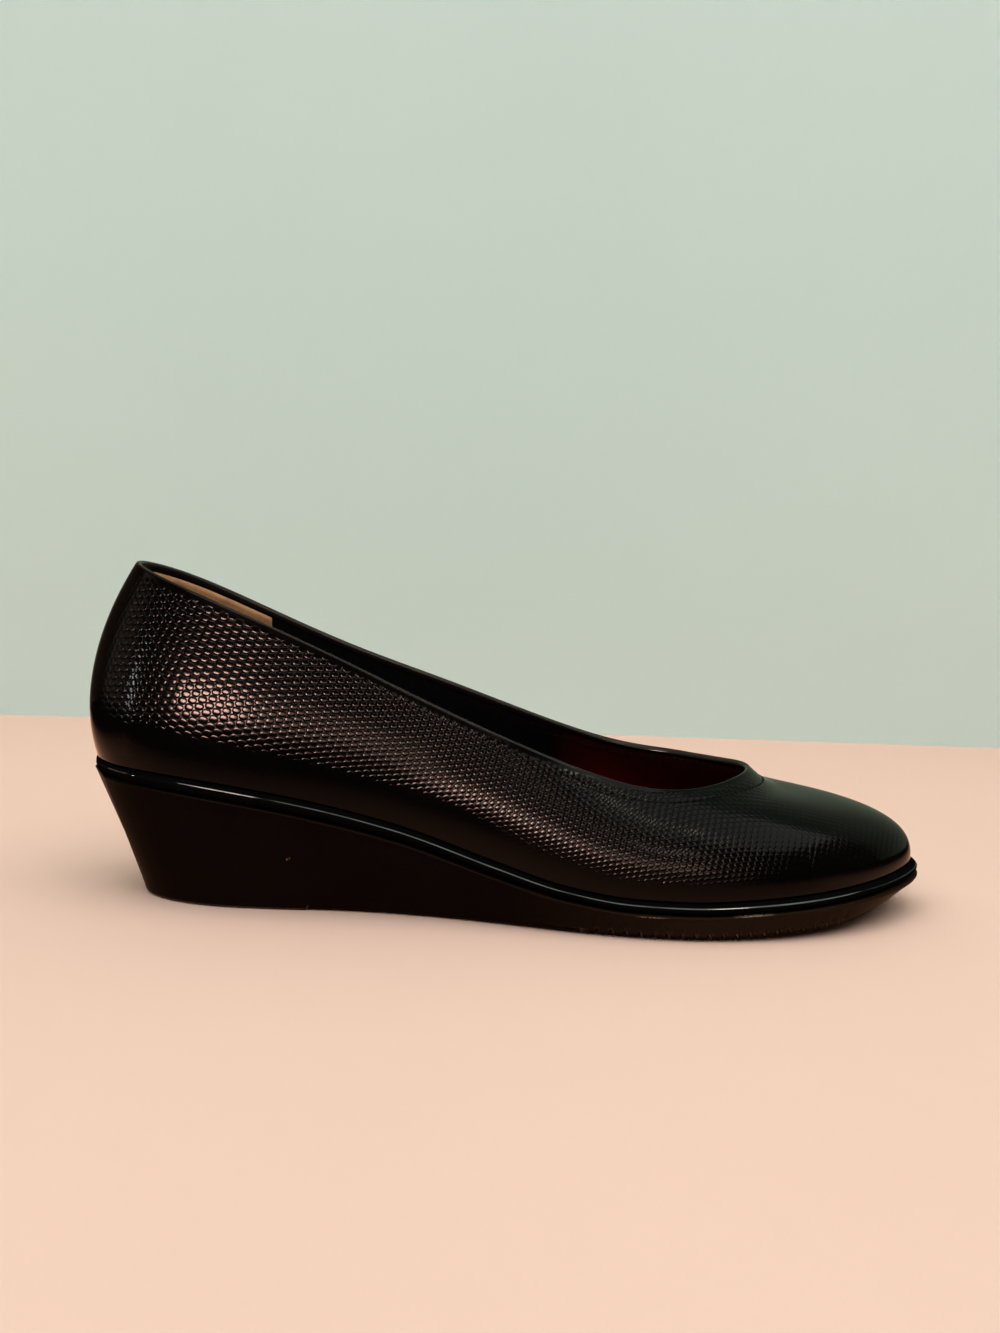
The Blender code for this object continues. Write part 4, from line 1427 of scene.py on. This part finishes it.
add_area("ceiling", (0.0, -0.35, 1.5), (0.0, -0.35, 0.0), (3.0, 2.4), 54.0, (0.95, 1.0, 0.96),
         mirrored=False)
print(len(MIRRORED_LAMPS), "lamps that are mirrored, and a ceiling that lights")

# The world shows a plain backdrop tone to the camera and is nearly dark to everything else
world = bpy.data.worlds.new("studio")
bpy.context.scene.world = world
world.use_nodes = True
sky = world.node_tree
sky.nodes.clear()
dim = put(sky, "ShaderNodeBackground", {"Color": (0.5, 0.5, 0.45, 1.0), "Strength": 0.05})
seen = put(sky, "ShaderNodeBackground", {"Color": (0.56, 0.60, 0.51, 1.0), "Strength": 1.0})
eye = put(sky, "ShaderNodeLightPath").outputs["Is Camera Ray"]
both = put(sky, "ShaderNodeMixShader", (eye, dim.outputs[0], seen.outputs[0]))
put(sky, "ShaderNodeOutputWorld", (both.outputs[0],))

# %% [markdown]
# ## Camera
#
# The camera stands where the photographer's did: in front of the outer side, a little above the shoe and
# looking slightly down, and rolled a little, because the picture's floor line is not quite level.

# %% Camera
PICTURE = (1000, 1333)
SENSOR = 36.0
FOCAL_PIXELS = 1484.3
EYE = (104.34, -438.16, 131.64)
YAW, PITCH, ROLL = np.radians((2.0, 8.02, 2.30))

forward = np.array([np.sin(YAW) * np.cos(PITCH), np.cos(YAW) * np.cos(PITCH), -np.sin(PITCH)])
level = np.array([np.cos(YAW), -np.sin(YAW), 0.0])
upright = np.cross(level, forward)
right = np.cos(ROLL) * level + np.sin(ROLL) * upright
top = np.cos(ROLL) * upright - np.sin(ROLL) * level
view = bpy.data.cameras.new("camera")
view.sensor_width = SENSOR
view.lens = FOCAL_PIXELS * SENSOR / max(PICTURE)
view.clip_start = 0.01
camera = bpy.data.objects.new("camera", view)
bpy.context.scene.collection.objects.link(camera)
stand = (np.array(EYE) - SHIFT) * MM
turn_and_place(camera, (right, top, -forward), stand)
bpy.context.scene.camera = camera
bpy.context.scene.view_settings.view_transform = "Standard"
print("camera at", np.round(stand, 3), "lens", round(view.lens, 2))
